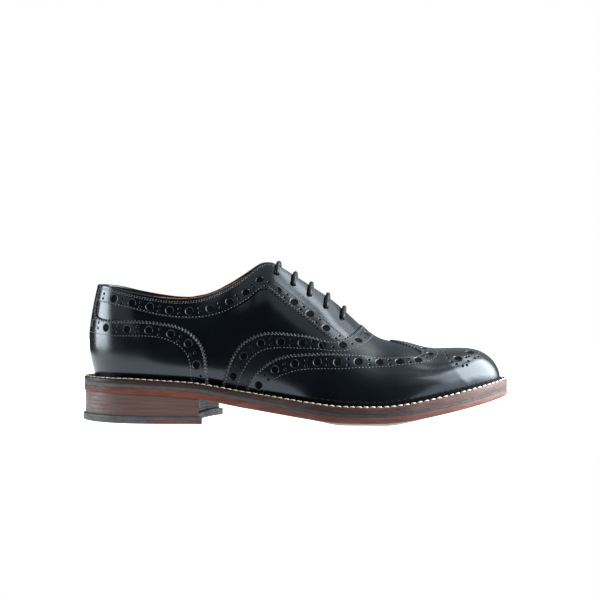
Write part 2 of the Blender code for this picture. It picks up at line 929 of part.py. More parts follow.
def lace_path(x, off):
    """Centre line of one bar, from one eyelet over the facings to the other."""
    half = [(off - away, height) for away, height in LACE_RISE]
    half += [(off - away, LACE_LIFT) for away in LACE_ACROSS]
    half += [(float(half_open(x)), LACE_LIFT)]
    places = [(-away, height) for away, height in half] + [(0.0, LACE_LIFT)] + half[::-1]
    return [crest_point(x, away) + crest_normal(x, away) * height for away, height in places]


def build_lace(parts, looks):
    for number, (x, off) in enumerate(eyelets(), 1):
        curve = bpy.data.curves.new(f"lace_bar_{number}", "CURVE")
        curve.dimensions = "3D"
        curve.bevel_depth = LACE_RADIUS * MM
        curve.bevel_resolution = LACE_ROUNDNESS
        curve.use_fill_caps = True
        path = lace_path(x, off)
        spline_points = curve.splines.new("POLY").points
        spline_points.add(len(path) - 1)
        for point, place in zip(spline_points, path):
            point.co = (*(place * MM), 1.0)
        bar = bpy.data.objects.new(f"lace_bar_{number}", curve)
        curve.materials.append(looks["lace"])
        parts.objects.link(bar)


def centre_box(collections):
    """The origin of the frame lies under the middle of the shoe's box."""
    lift_edge = inset(SOLE_EDGE, -TOP_LIFT_PROUD)
    back = lift_edge[:, 0].min()
    across = SOLE_EDGE[:, 1]
    shift = ((back + TOE_TIP[0]) / 2, (across.min() + across.max()) / 2)
    for collection in collections:
        for obj in collection.objects:
            obj.location.x -= shift[0] * MM
            obj.location.y -= shift[1] * MM


def main():
    clear_scene()
    parts = new_collection("oxford_brogue")
    cutters = new_collection("cutters", hidden=True)
    looks = {
        "leather": look("black_leather", (0.006, 0.007, 0.009), 0.28),
        "outsole": look("outsole_leather", (0.14, 0.045, 0.032), 0.5),
        "midsole": look("midsole_grey", (0.05, 0.05, 0.05), 0.6),
        "welt": look("welt_leather", (0.06, 0.032, 0.028), 0.5),
        "stack": look("stack_leather", (0.10, 0.058, 0.052), 0.5),
        "rubber": look("lift_rubber", (0.05, 0.053, 0.06), 0.7),
        "lining": look("lining_leather", (0.35, 0.17, 0.08), 0.6),
        "lace": look("lace_cotton", (0.01, 0.01, 0.011), 0.7),
    }
    build_sole(parts, looks)
    build_heel(parts, cutters, looks)
    holes = eyelet_cutter(cutters)
    upper = shell_surface("upper", parts, True, looks["leather"])
    solidify(upper, WALL, -1.0)
    boolean(upper, holes, "DIFFERENCE")
    build_overlays(parts, cutters, looks, holes)
    build_tongue(parts, looks)
    build_lace(parts, looks)
    centre_box((parts, cutters))


if __name__ == "__main__":
    main()
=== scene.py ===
"""Looks of the oxford brogue: leather panels with punched edges, stitching, lacing, lining and welted sole.

Tables and functions are in millimetres, in the frame of the part: +X to the toe, +Y to the medial side,
+Z up. A place on the upper is a pair: turn, the angle along the shoe from 0 at the heel to 180 at the toe,
and share, the part of the way from the welt (0) to the topline or ridge (1). A negative turn, or a share
over 1, lies on the medial side.
"""

import math

import bmesh
import bpy
import numpy as np
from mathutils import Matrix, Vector
from mathutils.geometry import delaunay_2d_cdt
from mathutils.kdtree import KDTree


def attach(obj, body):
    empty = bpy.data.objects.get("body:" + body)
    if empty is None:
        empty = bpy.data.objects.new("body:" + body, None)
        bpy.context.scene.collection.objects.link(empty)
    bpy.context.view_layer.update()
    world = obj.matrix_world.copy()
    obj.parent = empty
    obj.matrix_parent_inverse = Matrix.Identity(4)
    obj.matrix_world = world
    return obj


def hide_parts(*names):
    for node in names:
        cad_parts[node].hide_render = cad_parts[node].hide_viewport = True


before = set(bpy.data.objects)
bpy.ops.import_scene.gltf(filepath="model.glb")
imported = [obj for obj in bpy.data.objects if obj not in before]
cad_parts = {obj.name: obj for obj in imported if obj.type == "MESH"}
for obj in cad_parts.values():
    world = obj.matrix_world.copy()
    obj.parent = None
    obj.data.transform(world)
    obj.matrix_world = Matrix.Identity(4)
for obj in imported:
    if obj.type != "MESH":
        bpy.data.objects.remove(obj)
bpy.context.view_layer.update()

MM = 0.001
GAP = 0.3
WALL = 1.8

# Rounding of a table's corners: places read around x, and reach of their weight
SOFT_PLACES = 9
SOFT_REACH = 1.2

# Outline of the sole: distance from the long axis to each edge
OUTLINE_ROWS = (
    (-138.0, 22.5, 22.0), (-115.0, 34.5, 34.0), (-75.0, 36.0, 32.5), (-42.0, 36.8, 29.8),
    (-10.0, 42.5, 34.0), (20.0, 50.0, 44.0), (50.0, 53.0, 51.0), (85.0, 49.5, 50.5),
    (115.0, 39.5, 43.5), (135.0, 26.0, 32.0),
)
HEEL_BACK = (-150.5, 0.0)
TOE_TIP = (151.0, 3.5)
OUTLINE_POINTS = 960

# Sole from the floor up: height of the tread, rise of its edge, then the layers
SOLE_COLUMNS = ("x", "tread", "crown", "outsole", "midsole", "welt")
SOLE_ROWS = (
    (-151.0, 20.5, 0.0, 4.5, 2.6, 3.9),
    (-112.0, 20.4, 0.0, 4.5, 2.6, 3.9),
    (-84.0, 18.9, 0.0, 4.5, 2.6, 3.9),
    (-66.0, 17.6, 0.0, 4.4, 2.7, 3.9),
    (-54.0, 15.5, 0.0, 4.7, 2.7, 3.9),
    (-35.0, 11.9, 0.0, 4.8, 2.7, 4.0),
    (-14.0, 8.4, 0.4, 4.8, 2.7, 4.2),
    (7.0, 4.6, 1.2, 4.7, 2.6, 4.4),
    (24.0, 1.6, 2.1, 4.6, 2.4, 4.7),
    (31.0, 0.0, 3.1, 4.6, 2.4, 4.7),
    (38.0, 0.0, 2.6, 4.6, 2.3, 4.8),
    (66.0, 0.0, 2.6, 4.6, 2.2, 4.9),
    (71.0, 0.0, 3.1, 4.6, 2.2, 5.0),
    (78.0, 1.6, 2.2, 4.6, 2.2, 5.1),
    (94.0, 4.9, 1.6, 4.5, 2.1, 5.4),
    (115.0, 9.6, 1.1, 4.4, 2.0, 5.9),
    (130.0, 13.2, 0.8, 4.3, 1.9, 6.2),
    (151.0, 18.2, 0.5, 4.1, 1.9, 6.4),
)
SOLE_SOFT = 8.0
TREAD_INSET = 14.0

# Heel
TOP_LIFT = 5.2
TOP_LIFT_PROUD = 0.9
INSERT_HEIGHT = 2.6
INSERT_BACK_X = -98.6
STACK_INSET = 0.7
BREAST_LATERAL = (-62.0, -36.0)
BREAST_MEDIAL = (-55.8, 31.0)
BREAST_HOLLOW = 8.0

# Feather line of the last, set in from the edge of the sole
FEATHER_COLUMNS = ("x", "inset")
FEATHER_ROWS = (
    (-151.0, 8.5), (-110.0, 8.0), (-40.0, 8.0), (50.0, 9.0), (110.0, 9.0), (135.0, 7.8),
    (151.0, 6.8),
)
FEATHER_SOFT = 12.0
INSOLE_INSET = 3.0

# Sections of the last along the foot
SECTION_COLUMNS = (
    "x", "ridge_y", "belly", "wide_lateral", "wide_medial", "side_full", "top_full", "lean"
)
SECTION_ROWS = (
    (-142.0, 0.0, 0.34, 1.12, 1.12, 0.40, 0.35, 84.0),
    (-110.0, 0.0, 0.34, 1.12, 1.13, 0.40, 0.35, 84.0),
    (-77.0, 0.0, 0.31, 1.15, 1.24, 0.42, 0.36, 83.0),
    (-56.0, 0.2, 0.28, 1.16, 1.36, 0.42, 0.38, 80.0),
    (-46.0, 0.4, 0.26, 1.16, 1.40, 0.42, 0.38, 68.0),
    (-37.0, 0.7, 0.24, 1.16, 1.40, 0.42, 0.39, 55.0),
    (-29.0, 1.0, 0.22, 1.15, 1.38, 0.42, 0.40, 45.0),
    (-18.0, 1.5, 0.20, 1.14, 1.32, 0.42, 0.40, 37.0),
    (10.0, 2.6, 0.19, 1.09, 1.15, 0.42, 0.43, 31.0),
    (36.0, 4.0, 0.22, 1.06, 1.07, 0.44, 0.50, 20.0),
    (50.0, 4.8, 0.25, 1.05, 1.05, 0.46, 0.55, 3.0),
    (75.0, 5.2, 0.29, 1.05, 1.05, 0.50, 0.60, 0.0),
    (110.0, 4.6, 0.33, 1.05, 1.05, 0.58, 0.62, 0.0),
    (144.0, 3.5, 0.34, 1.03, 1.03, 0.60, 0.62, 0.0),
)
SECTION_SOFT = 10.0
FEATHER_OUT = 0.75
FEATHER_UP = 0.2
BELLY_DOWN = 0.5

# Top edge of the upper: collar, then lace facing, then the closed ridge
TOP_COLUMNS = ("x", "z", "half_open")
COLLAR_ROWS = (
    (-142.0, 96.2, 26.0), (-131.0, 95.0, 26.0), (-115.0, 91.3, 26.4), (-102.0, 88.8, 27.0),
    (-90.0, 86.8, 27.4), (-77.0, 85.9, 27.4), (-65.0, 86.8, 25.6), (-56.0, 89.3, 22.6),
    (-46.0, 94.0, 17.6), (-37.0, 99.3, 12.6), (-29.0, 105.0, 8.6), (-23.0, 110.2, 6.2),
    (-16.5, 111.9, 4.9), (-8.2, 107.2, 4.4), (4.3, 99.3, 3.8), (15.7, 92.1, 3.1), (27.3, 84.0, 2.4),
    (38.7, 74.0, 1.7), (44.0, 69.4, 0.0), (60.0, 57.4, 0.0),
)
TOP_SOFT = 4.0
RIDGE_ROWS = (
    (4.3, 99.3), (15.7, 92.1), (27.3, 84.0), (38.7, 74.0), (49.9, 64.0), (58.4, 57.8), (66.9, 54.9),
    (75.4, 53.9), (83.9, 51.9), (96.6, 48.9), (109.0, 48.9), (122.0, 48.9), (130.5, 47.3),
    (138.0, 42.5), (142.0, 36.8),
)
RIDGE_POINTS = 200
RIDGE_FROM_X = 15.0
COLLAR_ROUND_X = -108.0
CREST_SHARE = 0.2

# Back seam: set-back of the heel curve by height over the feather line
BACK_COLUMNS = ("rise", "forward")
BACK_ROWS = (
    (0.0, 0.0), (6.0, -1.2), (10.0, -2.5), (18.0, -3.9), (31.0, -3.9), (41.0, -2.5), (52.0, -0.4),
    (59.0, 1.2), (65.0, 2.8),
)
BACK_SOFT = 6.0
BACK_REACH = 75.0

# Lace: eyelets by place along the shoe and distance from the ridge line
EYELETS = ((-11.8, 11.5), (-0.1, 12.3), (11.3, 13.0), (23.0, 15.6), (34.3, 15.8))
EYELET_RADIUS = 2.1
EYELET_RIM = 0.3
EYELET_SHARES = np.linspace(0.4, 1.0, 400)
LACE_RADIUS = 1.55

# Tongue
TONGUE_BACK_X = -21.0
TONGUE_FRONT_X = 47.0
TONGUE_HALF_BACK = 25.0
TONGUE_HALF_FRONT = 16.0
TONGUE_THICK = 1.4
TONGUE_DROP = 1.5
TONGUE_ROWS = 70
TONGUE_POINTS = 49

# Edges of the panels on the lateral side, each row a turn and a share
COUNTER_EDGE = (
    (66.0, 0.0), (66.2, 0.095), (66.0, 0.212), (65.5, 0.330), (64.5, 0.435), (62.3, 0.546),
    (59.5, 0.631), (56.4, 0.683), (51.8, 0.706), (46.5, 0.708), (38.3, 0.684), (29.1, 0.652),
    (22.8, 0.645), (17.6, 0.660), (14.4, 0.700), (13.6, 0.760), (14.1, 0.828), (15.6, 0.940),
    (16.3, 1.0),
)
COUNTER_STITCH = (
    (60.8, 0.0), (60.7, 0.061), (60.5, 0.202), (60.1, 0.282), (59.0, 0.362), (56.7, 0.442),
    (53.7, 0.494), (50.6, 0.519), (47.4, 0.523), (42.2, 0.509), (34.6, 0.484), (23.8, 0.473),
    (14.7, 0.478), (0.0, 0.485),
)
COLLAR_EDGE = (
    (0.0, 0.822), (14.9, 0.819), (27.2, 0.818), (33.8, 0.816), (39.6, 0.807), (44.6, 0.795),
    (48.6, 0.783), (53.4, 0.775), (57.8, 0.768), (62.1, 0.762), (67.1, 0.750), (72.1, 0.739),
    (76.1, 0.736), (79.4, 0.746), (81.6, 0.766),
)
FACING_EDGE = (
    (82.4, 0.752), (85.4, 0.703), (88.5, 0.669), (91.3, 0.641), (94.4, 0.605), (97.3, 0.560),
    (99.3, 0.527), (101.6, 0.494),
)
FACING_CREASE = (
    (83.8, 0.838), (89.1, 0.784), (94.2, 0.733), (99.3, 0.664), (104.4, 0.588),
)
FACING_FRONT = (
    (103.5, 0.490), (107.0, 0.560), (109.4, 0.680), (110.4, 0.830), (110.6, 1.0),
)
VAMP_EDGE = (
    (69.9, 0.0), (70.4, 0.081), (71.7, 0.214), (73.7, 0.335), (75.8, 0.396), (78.0, 0.418),
    (80.6, 0.426), (83.7, 0.437), (86.6, 0.455), (90.0, 0.472), (92.8, 0.486), (95.4, 0.493),
    (98.1, 0.493), (101.2, 0.507), (104.2, 0.573), (106.5, 0.685), (107.9, 0.815), (108.5, 0.940),
    (108.6, 1.0),
)
VAMP_STITCH = (
    (74.2, 0.0), (74.8, 0.052), (75.6, 0.121), (76.4, 0.166), (77.7, 0.225), (79.3, 0.269),
    (81.4, 0.300), (83.8, 0.322), (86.7, 0.344), (91.0, 0.368), (97.5, 0.399), (104.0, 0.436),
    (106.8, 0.488), (109.6, 0.584), (111.4, 0.727), (112.3, 0.900), (112.4, 1.0),
)
VAMP_FRONT = (
    (92.0, 0.0), (100.0, 0.15), (112.0, 0.25), (130.0, 0.33), (138.0, 0.55), (138.0, 1.0),
)
WING_EDGE = (
    (76.5, 0.0), (77.3, 0.047), (78.4, 0.103), (80.1, 0.160), (82.2, 0.206), (84.5, 0.250),
    (87.2, 0.292), (90.0, 0.322), (93.1, 0.346), (97.3, 0.373), (104.6, 0.421), (110.0, 0.455),
    (115.5, 0.481), (120.7, 0.493), (124.7, 0.518), (127.0, 0.570), (127.7, 0.635), (126.8, 0.705),
    (124.1, 0.775), (121.3, 0.844), (119.1, 0.915), (117.6, 1.0),
)
WING_STITCH = (
    (81.6, 0.0), (82.8, 0.051), (84.3, 0.096), (85.8, 0.133), (87.8, 0.168), (90.1, 0.199),
    (93.2, 0.230), (96.4, 0.250), (102.3, 0.278), (109.9, 0.319), (116.4, 0.356), (122.1, 0.377),
    (128.1, 0.410), (131.7, 0.467), (133.8, 0.560), (134.4, 0.680), (133.4, 0.840), (131.6, 1.0),
)

# Large punched holes of each band, from the welt up, each row a turn and a share
COUNTER_HOLES = (
    (62.4, 0.222), (59.8, 0.467), (54.0, 0.573), (46.2, 0.590), (37.2, 0.568), (26.0, 0.550),
    (13.3, 0.575), (0.0, 0.580),
)
COLLAR_HOLES = (
    (28.7, 0.886), (38.4, 0.882), (46.0, 0.872), (53.3, 0.858), (59.9, 0.851),
    (66.2, 0.842), (71.9, 0.828), (76.5, 0.826), (80.4, 0.853),
)
FACING_HOLES = ((85.5, 0.762), (90.2, 0.727), (94.7, 0.680), (99.3, 0.605))
VAMP_HOLES = (
    (73.6, 0.127), (76.7, 0.285), (81.6, 0.355), (87.1, 0.387), (93.0, 0.417), (98.6, 0.437),
    (104.0, 0.492), (108.3, 0.615), (110.4, 0.830), (110.9, 1.0),
)
WING_HOLES = (
    (81.1, 0.072), (85.7, 0.191), (91.2, 0.260), (97.4, 0.302), (102.9, 0.330), (108.5, 0.362),
    (114.7, 0.400), (121.0, 0.415), (127.0, 0.452), (131.4, 0.620), (129.2, 0.830), (125.2, 1.0),
)
# Pairs of pinholes past the ends of a band: place, and the hole that they go with
COUNTER_ENDS = (((62.9, 0.080), 0),)
COLLAR_ENDS = (((20.5, 0.886), 0),)
FACING_ENDS = (((82.6, 0.790), 0), ((102.6, 0.560), 2))
MEDALLION_HOLES = ((142.6, 0.462), (148.9, 0.666))
MEDALLION_PINS = (
    (137.6, 0.625), (137.9, 0.557), (138.4, 0.476), (139.6, 0.398), (141.6, 0.359), (144.2, 0.328),
    (146.3, 0.340), (147.3, 0.406), (146.5, 0.483), (147.8, 0.511), (150.9, 0.485), (153.2, 0.547),
    (154.4, 0.671), (137.5, 0.720), (138.6, 0.850), (141.0, 1.0), (153.2, 0.840), (151.6, 1.0),
)

# Sizes of the leatherwork
FACING_HEIGHT = 0.8
COUNTER_HEIGHT = 1.1
VAMP_HEIGHT = 1.5
WING_HEIGHT = 2.4
PANEL_FOOT = -0.2
VAMP_FOOT = -0.1
WING_FOOT = VAMP_HEIGHT - 0.3
SKIN_FOOT = -WALL + 0.1
SKIN_RIM = 0.1
HOLE_RADIUS = 2.5
HOLE_RIM = 0.75
HOLE_DEPTH = 0.6
HOLE_SIDES = 22
# Finish of each strip of a punched hole, from its rim to its floor, which is near black as painted shade
HOLE_MARKS = (0, 0, 1, 1, 1, 2)
RIM_STEPS = (0.4, 0.75, 1.0)
PIN_RADIUS = 0.8
PIN_RIM = 0.4
PIN_SIDES = 10
PIN_OFF = 1.95
COLLAR_PIN_OFF = 1.65
GIMP_PITCH = 2.6
GIMP_DEPTH = 1.4
GIMP_STEPS = 8
EDGE_ROUND = 0.5
EDGE_STEPS = (0.5, 1.0)
LINING_ROUND = 0.01
GIMP_ROUND = 0.9
PLAIN_SPACING = 1.2
STITCH_PITCH = 2.3
STITCH_LENGTH = 1.4
STITCH_RADIUS = 0.28
EDGE_ROW = 2.3
COLLAR_ROW = 0.9
SEAM_PITCH = 1.3
COLLAR_BACK = (8.0, 0.82)

# Topline: its stitch rows and its binding
TOPLINE_ROWS = (1.9, 2.9)
TOPLINE_PITCH = 1.9
TOPLINE_RADIUS = 0.22
TOPLINE_STITCH_END = 100.0
SKIN_FRONT = 179.0
TOE_TURN = 179.6
TOE_POINTS = 40
TOPLINE_END = 107.5
TOPLINE_STATIONS = 520
# Binding of the topline by turn: thickness of its bead and depth of its inner side
BINDING_COLUMNS = ("turn", "bead", "inner")
BINDING_ROWS = (
    (-107.5, 0.9, 2.6), (-92.0, 0.9, 2.6), (-86.0, 0.3, 0.3), (-56.0, 0.3, 0.3), (-46.0, 0.8, 1.3),
    (-38.0, 1.1, 2.3), (0.0, 1.1, 2.6), (80.0, 1.1, 2.6), (90.0, 0.9, 2.6), (107.5, 0.9, 2.6),
)
BINDING_SOFT = 2.0
BINDING_TUCK = 0.1
BINDING_OVERLAP = 2.2
BINDING_SINK = 0.6
BINDING_SIDES = 13
BINDING_STEPS = (0.3, 0.65, 1.0)
LINING_COVER = 0.3
# The medial topline stands a little higher under the ankle
MEDIAL_COLUMNS = ("x", "rise")
MEDIAL_ROWS = (
    (-110.0, 0.0), (-79.0, 0.8), (-62.0, 2.8), (-50.0, 4.0), (-38.0, 4.0), (-28.0, 3.2),
    (-20.0, 0.6), (-16.0, 0.0),
)

# Soft creases of wear: places along each, depth and half width
CREASES = (
    (((138.8, 0.365), (139.8, 0.327), (142.5, 0.226), (145.6, 0.107), (146.4, 0.075)), -0.12, 2.4),
    (((107.1, 0.187), (108.5, 0.152), (109.6, 0.123)), 0.08, 1.8),
    (((104.1, 0.194), (105.2, 0.161), (106.3, 0.126)), 0.08, 1.8),
)
CREASE_POINTS = 40

# Sizes of the sole and heel
EDGE_STATIONS = 220
WELD = 0.01
SHARP_ANGLE = 38.0
JOINT = 0.16
# Rings round the sole: distance in from its edge, and rise over the face named or share of the layer
OUTSOLE_TOP = ((6.0, 0.0), (JOINT, 0.0), (JOINT * 0.3, -JOINT * 0.3), (0.0, -JOINT))
OUTSOLE_FOOT = ((0.0, 1.2), (0.12, 0.6), (0.45, 0.16), (1.1, 0.0))
TREAD_FROM = 1.1
TREAD_DEPTHS = (5.0, 9.0, TREAD_INSET, TREAD_INSET + 8.0)
MIDSOLE_SHARES = ((6.0, 1.0), (0.3, 1.0), (0.15, 0.94), (0.15, 0.06), (0.3, 0.0), (6.0, 0.0))
WELT_TOP = (
    (14.0, 0.0), (9.0, -0.2), (6.0, -0.25), (3.0, -0.1), (1.8, 0.0), (0.9, -0.12), (0.35, -0.45),
    (0.08, -1.0), (0.0, -1.7),
)
WELT_FOOT = ((0.0, JOINT), (JOINT * 0.3, JOINT * 0.3), (JOINT, 0.0), (14.0, 0.0))
INSOLE_RINGS = ((0.0, 0.4), (0.0, 2.2), (1.2, 2.7), (5.0, 2.4))
WELT_STITCH_RISE = 0.15
WELT_STITCH_INSET = 1.1
WELT_STITCH_PITCH = 4.6
WELT_STITCH_LENGTH = 4.0
WELT_STITCH_ROWS = ((-90.0, 0.22), (-40.0, 0.27), (0.0, 0.33), (60.0, 0.46), (110.0, 0.5))
HEEL_POINTS = 110
BREAST_POINTS = 40
STACK_LIFTS = 5
STACK_GROOVE = 0.04
# One lift of the stack: share of its height, and depth of the groove there
LIFT_PROFILE = ((0.0, STACK_GROOVE), (0.05, 0.0), (0.95, 0.0), (1.0, STACK_GROOVE))
LIFT_STEPS = (0.0, 0.3, 1.0)
LIFT_JOINT = 0.06
LIFT_ROUND = 0.8
BREAST_FACING = 0.45

# Course of the lace: rise out of an eyelet, lift over the facings and depth under them
LACE_RISE = ((0.0, -0.8), (0.0, 0.9), (0.35, 1.7), (1.1, 2.15))
LACE_LIFT = 2.15
LACE_ACROSS = 3.4
LACE_INNER = 0.4
UNDER_LACE = -2.55
UNDER_ASIDE = 3.6
UNDER_SHARES = (0.12, 0.3, 0.5, 0.7, 0.88)
HALF_UNDER = 0.5
LACE_TAILS = ((2.0, 4.0), (5.0, 5.0))
LACE_START_SIDE = (0.3, 1.0, 0.2)
LACE_STRANDS = 3
LACE_PRESSED = 0.45
LACE_STATIONS = 2200
LACE_SIDES = 14
LACE_TWIST = 2.6
LACE_RELIEF = 0.06

# Camera, from the photograph's frame
FRAME = 600.0
CAMERA_YAW = 4.047
CAMERA_HEIGHT = 0.10177
CAMERA_DISTANCE = 0.950
CAMERA_FOCUS = 1335.42
CAMERA_CENTRE = (293.43, 276.64)
SENSOR_WIDTH = 36.0

# Studio: outline of the floor, then name, place, aim, size, glow of each lamp and whether gloss shows it
FLOOR = (
    (-0.60, -0.08), (-0.26, -0.32), (-0.23, -0.34), (0.0, -0.058), (0.085, -0.058), (0.26, -0.25),
    (0.36, -0.25), (0.36, 1.6), (-0.42, 1.6), (-0.42, 0.08), (-0.62, 0.03),
)
FLOOR_GLOW = 2.0
FLOOR_COLOUR = (0.9, 0.955, 1.0)
FLOOR_SHADES = ((0.4, (0.05, 0.05, 0.05)), (0.6, (0.06, 0.06, 0.06)))
ROOM_GLOW = 0.05
ROOM_COLOUR = (0.72, 0.86, 1.0)
LIGHT_COLOUR = (0.9, 0.955, 1.0)
LIGHTS = (
    ("softbox", (1.060, -0.040, 0.501), (0.07, 0.0, 0.06), (1.27, 1.28), 9.5, True),
    ("softbox_spill", (1.19, -0.098, 0.50), (0.07, 0.0, 0.06), (2.24, 1.30), 6.0, True),
    ("softbox_top", (0.545, 0.351, 0.970), (0.015, -0.02, 0.08), (0.29, 0.19), 7.0, True),
    ("softbox_crest", (0.527, 0.042, 1.051), (0.015, -0.02, 0.08), (0.28, 0.19), 6.0, True),
    ("rear_softbox", (0.491, 0.607, 0.885), (0.05, 0.0, 0.08), (0.31, 0.59), 1.5, True),
    ("heel_side", (-1.14, 0.025, 0.28), (-0.14, -0.01, 0.28), (0.54, 0.60), 8.0, True),
    ("heel_soft", (-1.14, -0.04, 0.28), (-0.14, -0.01, 0.28), (0.67, 0.60), 4.0, True),
    ("heel_spill", (-0.98, -0.88, 0.33), (-0.13, -0.03, 0.33), (0.97, 0.24), 0.8, True),
    ("front_right", (0.60, -0.95, 0.739), (0.06, 0.0, 0.05), (0.60, 1.35), 0.3, True),
    ("ceiling", (0.1, 0.2, 1.6), (0.1, 0.2, 0.0), (2.4, 2.4), 0.55, True),
    ("backdrop", (0.1, 1.3, 0.7), (0.0, 0.0, 0.1), (1.8, 1.2), 0.33, True),
    ("fill", (0.9, -1.2, 0.6), (0.05, 0.0, 0.03), (1.2, 0.8), 1.0, False),
)

# Grid of the last and scale of its flat chart
TURNS = np.linspace(0.0, 180.0, 361)
SHARES = np.linspace(0.0, 1.0, 121)
FINE_LOW = np.linspace(0.0, 1.0, 50)
FINE_HIGH = np.linspace(0.0, 1.0, 140)[1:]
CHART = np.array([2.2, 68.0])
CHART_SPACING = 1.7
CLEARANCE = 0.45
ON_RIDGE = 1e-6
TURN_STEP = 0.25
SHARE_STEP = 0.004
BESIDE_STEP = 1.5
TRACE_POINTS = 500
SMALLEST_FACE = 1e-7
SHORTEST = 1e-12
FLATTEST = 1e-9
CHART_WELD = 1e-7
SAME_PLACE = 0.01
CLOSED_HALF = 0.05
LAST_CELL = 1.001

# Middle range of a noise, where its values lie
NOISE_RANGE = (0.3, 0.7)

# Thread of the stitches: place along the stitch, thickness and sink, as shares of its size
STITCH_SIDES = 6
STITCH_PROFILE = ((-1.0, 0.25, -0.9), (-0.62, 1.0, 0.0), (0.62, 1.0, 0.0), (1.0, 0.25, -0.9))


def read(columns, rows, name, x, soft):
    """One named column of a table at x, its corners rounded over the distance soft."""
    places = [row[0] for row in rows]
    values = [row[columns.index(name)] for row in rows]
    reach = np.linspace(-soft, soft, SOFT_PLACES)
    weight = SOFT_REACH * soft - np.abs(reach)
    around = np.interp(np.add.outer(np.asarray(x, float), reach), places, values)
    return around @ weight / weight.sum()


def sole_size(name, x):
    return read(SOLE_COLUMNS, SOLE_ROWS, name, x, SOLE_SOFT)


def section_size(name, x):
    return read(SECTION_COLUMNS, SECTION_ROWS, name, x, SECTION_SOFT)


def spline(points, count, closed=False):
    """A cubic spline through the points, as count points along it."""
    knots = np.array(points, float)
    if closed:
        knots = np.vstack([knots, knots[:1]])
    step = np.linalg.norm(np.diff(knots, axis=0), axis=1)
    slope = np.diff(knots, axis=0) / step[:, None]
    last = len(knots) - 1
    system = np.zeros((last + 1, last + 1))
    right = np.zeros_like(knots)
    for i in range(1, last):
        system[i, i - 1 : i + 2] = step[i], 2 * (step[i - 1] + step[i]), step[i - 1]
        right[i] = 3 * (step[i] * slope[i - 1] + step[i - 1] * slope[i])
    if closed:
        system[0, 0], system[0, last] = 1, -1
        system[last, [last - 1, last, 1]] = step[0], 2 * (step[-1] + step[0]), step[-1]
        right[last] = 3 * (step[0] * slope[-1] + step[-1] * slope[0])
    else:
        system[0, :2] = 2, 1
        system[last, -2:] = 1, 2
        right[0], right[last] = 3 * slope[0], 3 * slope[-1]
    tangent = np.linalg.solve(system, right)
    place = np.concatenate([[0], np.cumsum(step)])
    at = np.linspace(0, place[-1], count + 1 if closed else count)
    at = at[:-1] if closed else at
    i = np.clip(np.searchsorted(place, at, "right") - 1, 0, last - 1)
    u = ((at - place[i]) / step[i])[:, None]
    h = step[i][:, None]
    return (
        (1 + 2 * u) * (1 - u) ** 2 * knots[i]
        + u * (1 - u) ** 2 * h * tangent[i]
        + u**2 * (3 - 2 * u) * knots[i + 1]
        + u**2 * (u - 1) * h * tangent[i + 1]
    )


def inset(loop, depth):
    """The closed outline moved in by depth, one number or one per point."""
    ahead = np.roll(loop, -1, axis=0) - np.roll(loop, 1, axis=0)
    outward = np.column_stack([ahead[:, 1], -ahead[:, 0]])
    outward /= np.linalg.norm(outward, axis=1)[:, None]
    return loop - outward * np.broadcast_to(depth, len(loop))[:, None]


def sides(loop):
    """The lateral and medial halves of a closed outline, each from heel to toe."""
    loop = np.roll(loop, -np.argmin(loop[:, 0]), axis=0)
    tip = np.argmax(loop[:, 0])
    return loop[: tip + 1], np.vstack([loop[tip:], loop[:1]])[::-1]


def sole_outline():
    lateral = [(row[0], -row[1]) for row in OUTLINE_ROWS]
    medial = [(row[0], row[2]) for row in OUTLINE_ROWS]
    points = [HEEL_BACK, *lateral, TOE_TIP, *medial[::-1]]
    return spline(points, OUTLINE_POINTS, closed=True)


SOLE_EDGE = sole_outline()
FEATHER = inset(SOLE_EDGE, read(FEATHER_COLUMNS, FEATHER_ROWS, "inset", SOLE_EDGE[:, 0], FEATHER_SOFT))
FEATHER_LATERAL, FEATHER_MEDIAL = sides(FEATHER)
LAST_BACK_X = FEATHER[:, 0].min()
LAST_TIP_X = FEATHER[:, 0].max()
LIFT_EDGE = inset(SOLE_EDGE, -TOP_LIFT_PROUD)
CENTRE = np.array(
    [
        (LIFT_EDGE[:, 0].min() + TOE_TIP[0]) / 2,
        (SOLE_EDGE[:, 1].min() + SOLE_EDGE[:, 1].max()) / 2,
        0.0,
    ]
)


def tread_z(x):
    return sole_size("tread", x)


def edge_z(x):
    """Height of the sole's lower edge."""
    return tread_z(x) + sole_size("crown", x)


def outsole_top(x):
    return edge_z(x) + sole_size("outsole", x)


def midsole_top(x):
    return outsole_top(x) + sole_size("midsole", x)


def feather_z(x):
    return midsole_top(x) + sole_size("welt", x)


def welt_top(x):
    return feather_z(x) - GAP


def inside_z(x):
    """Height of the upper's inner face over the sole."""
    return feather_z(x) + WALL


def ridge_curve():
    end = (LAST_TIP_X, float(feather_z(LAST_TIP_X)))
    return spline([*RIDGE_ROWS, end], RIDGE_POINTS)


RIDGE = ridge_curve()


def top_z(x):
    """Height of the upper's top edge or ridge."""
    collar = read(TOP_COLUMNS, COLLAR_ROWS, "z", x, TOP_SOFT)
    ridge = np.interp(x, RIDGE[:, 0], RIDGE[:, 1])
    share = np.clip((x - RIDGE_FROM_X) / TOP_SOFT, 0, 1)
    return collar * (1 - share) + ridge * share


def medial_rise(x):
    return read(MEDIAL_COLUMNS, MEDIAL_ROWS, "rise", x, TOP_SOFT)


def half_open(x):
    """Half the width of the collar or lace opening."""
    width = read(TOP_COLUMNS, COLLAR_ROWS, "half_open", x, TOP_SOFT)
    behind = np.clip((COLLAR_ROUND_X - x) / (COLLAR_ROUND_X - LAST_BACK_X), 0, 1)
    return width * np.sqrt(1 - behind**2)


def bezier(points, share):
    a, b, c, d = (np.asarray(point, float) for point in points)
    t = np.asarray(share, float)[:, None]
    return a * (1 - t) ** 3 + 3 * b * t * (1 - t) ** 2 + 3 * c * t**2 * (1 - t) + d * t**3


def feather_y(x, medial):
    half = FEATHER_MEDIAL if medial else FEATHER_LATERAL
    return float(np.interp(x, half[:, 0], half[:, 1]))


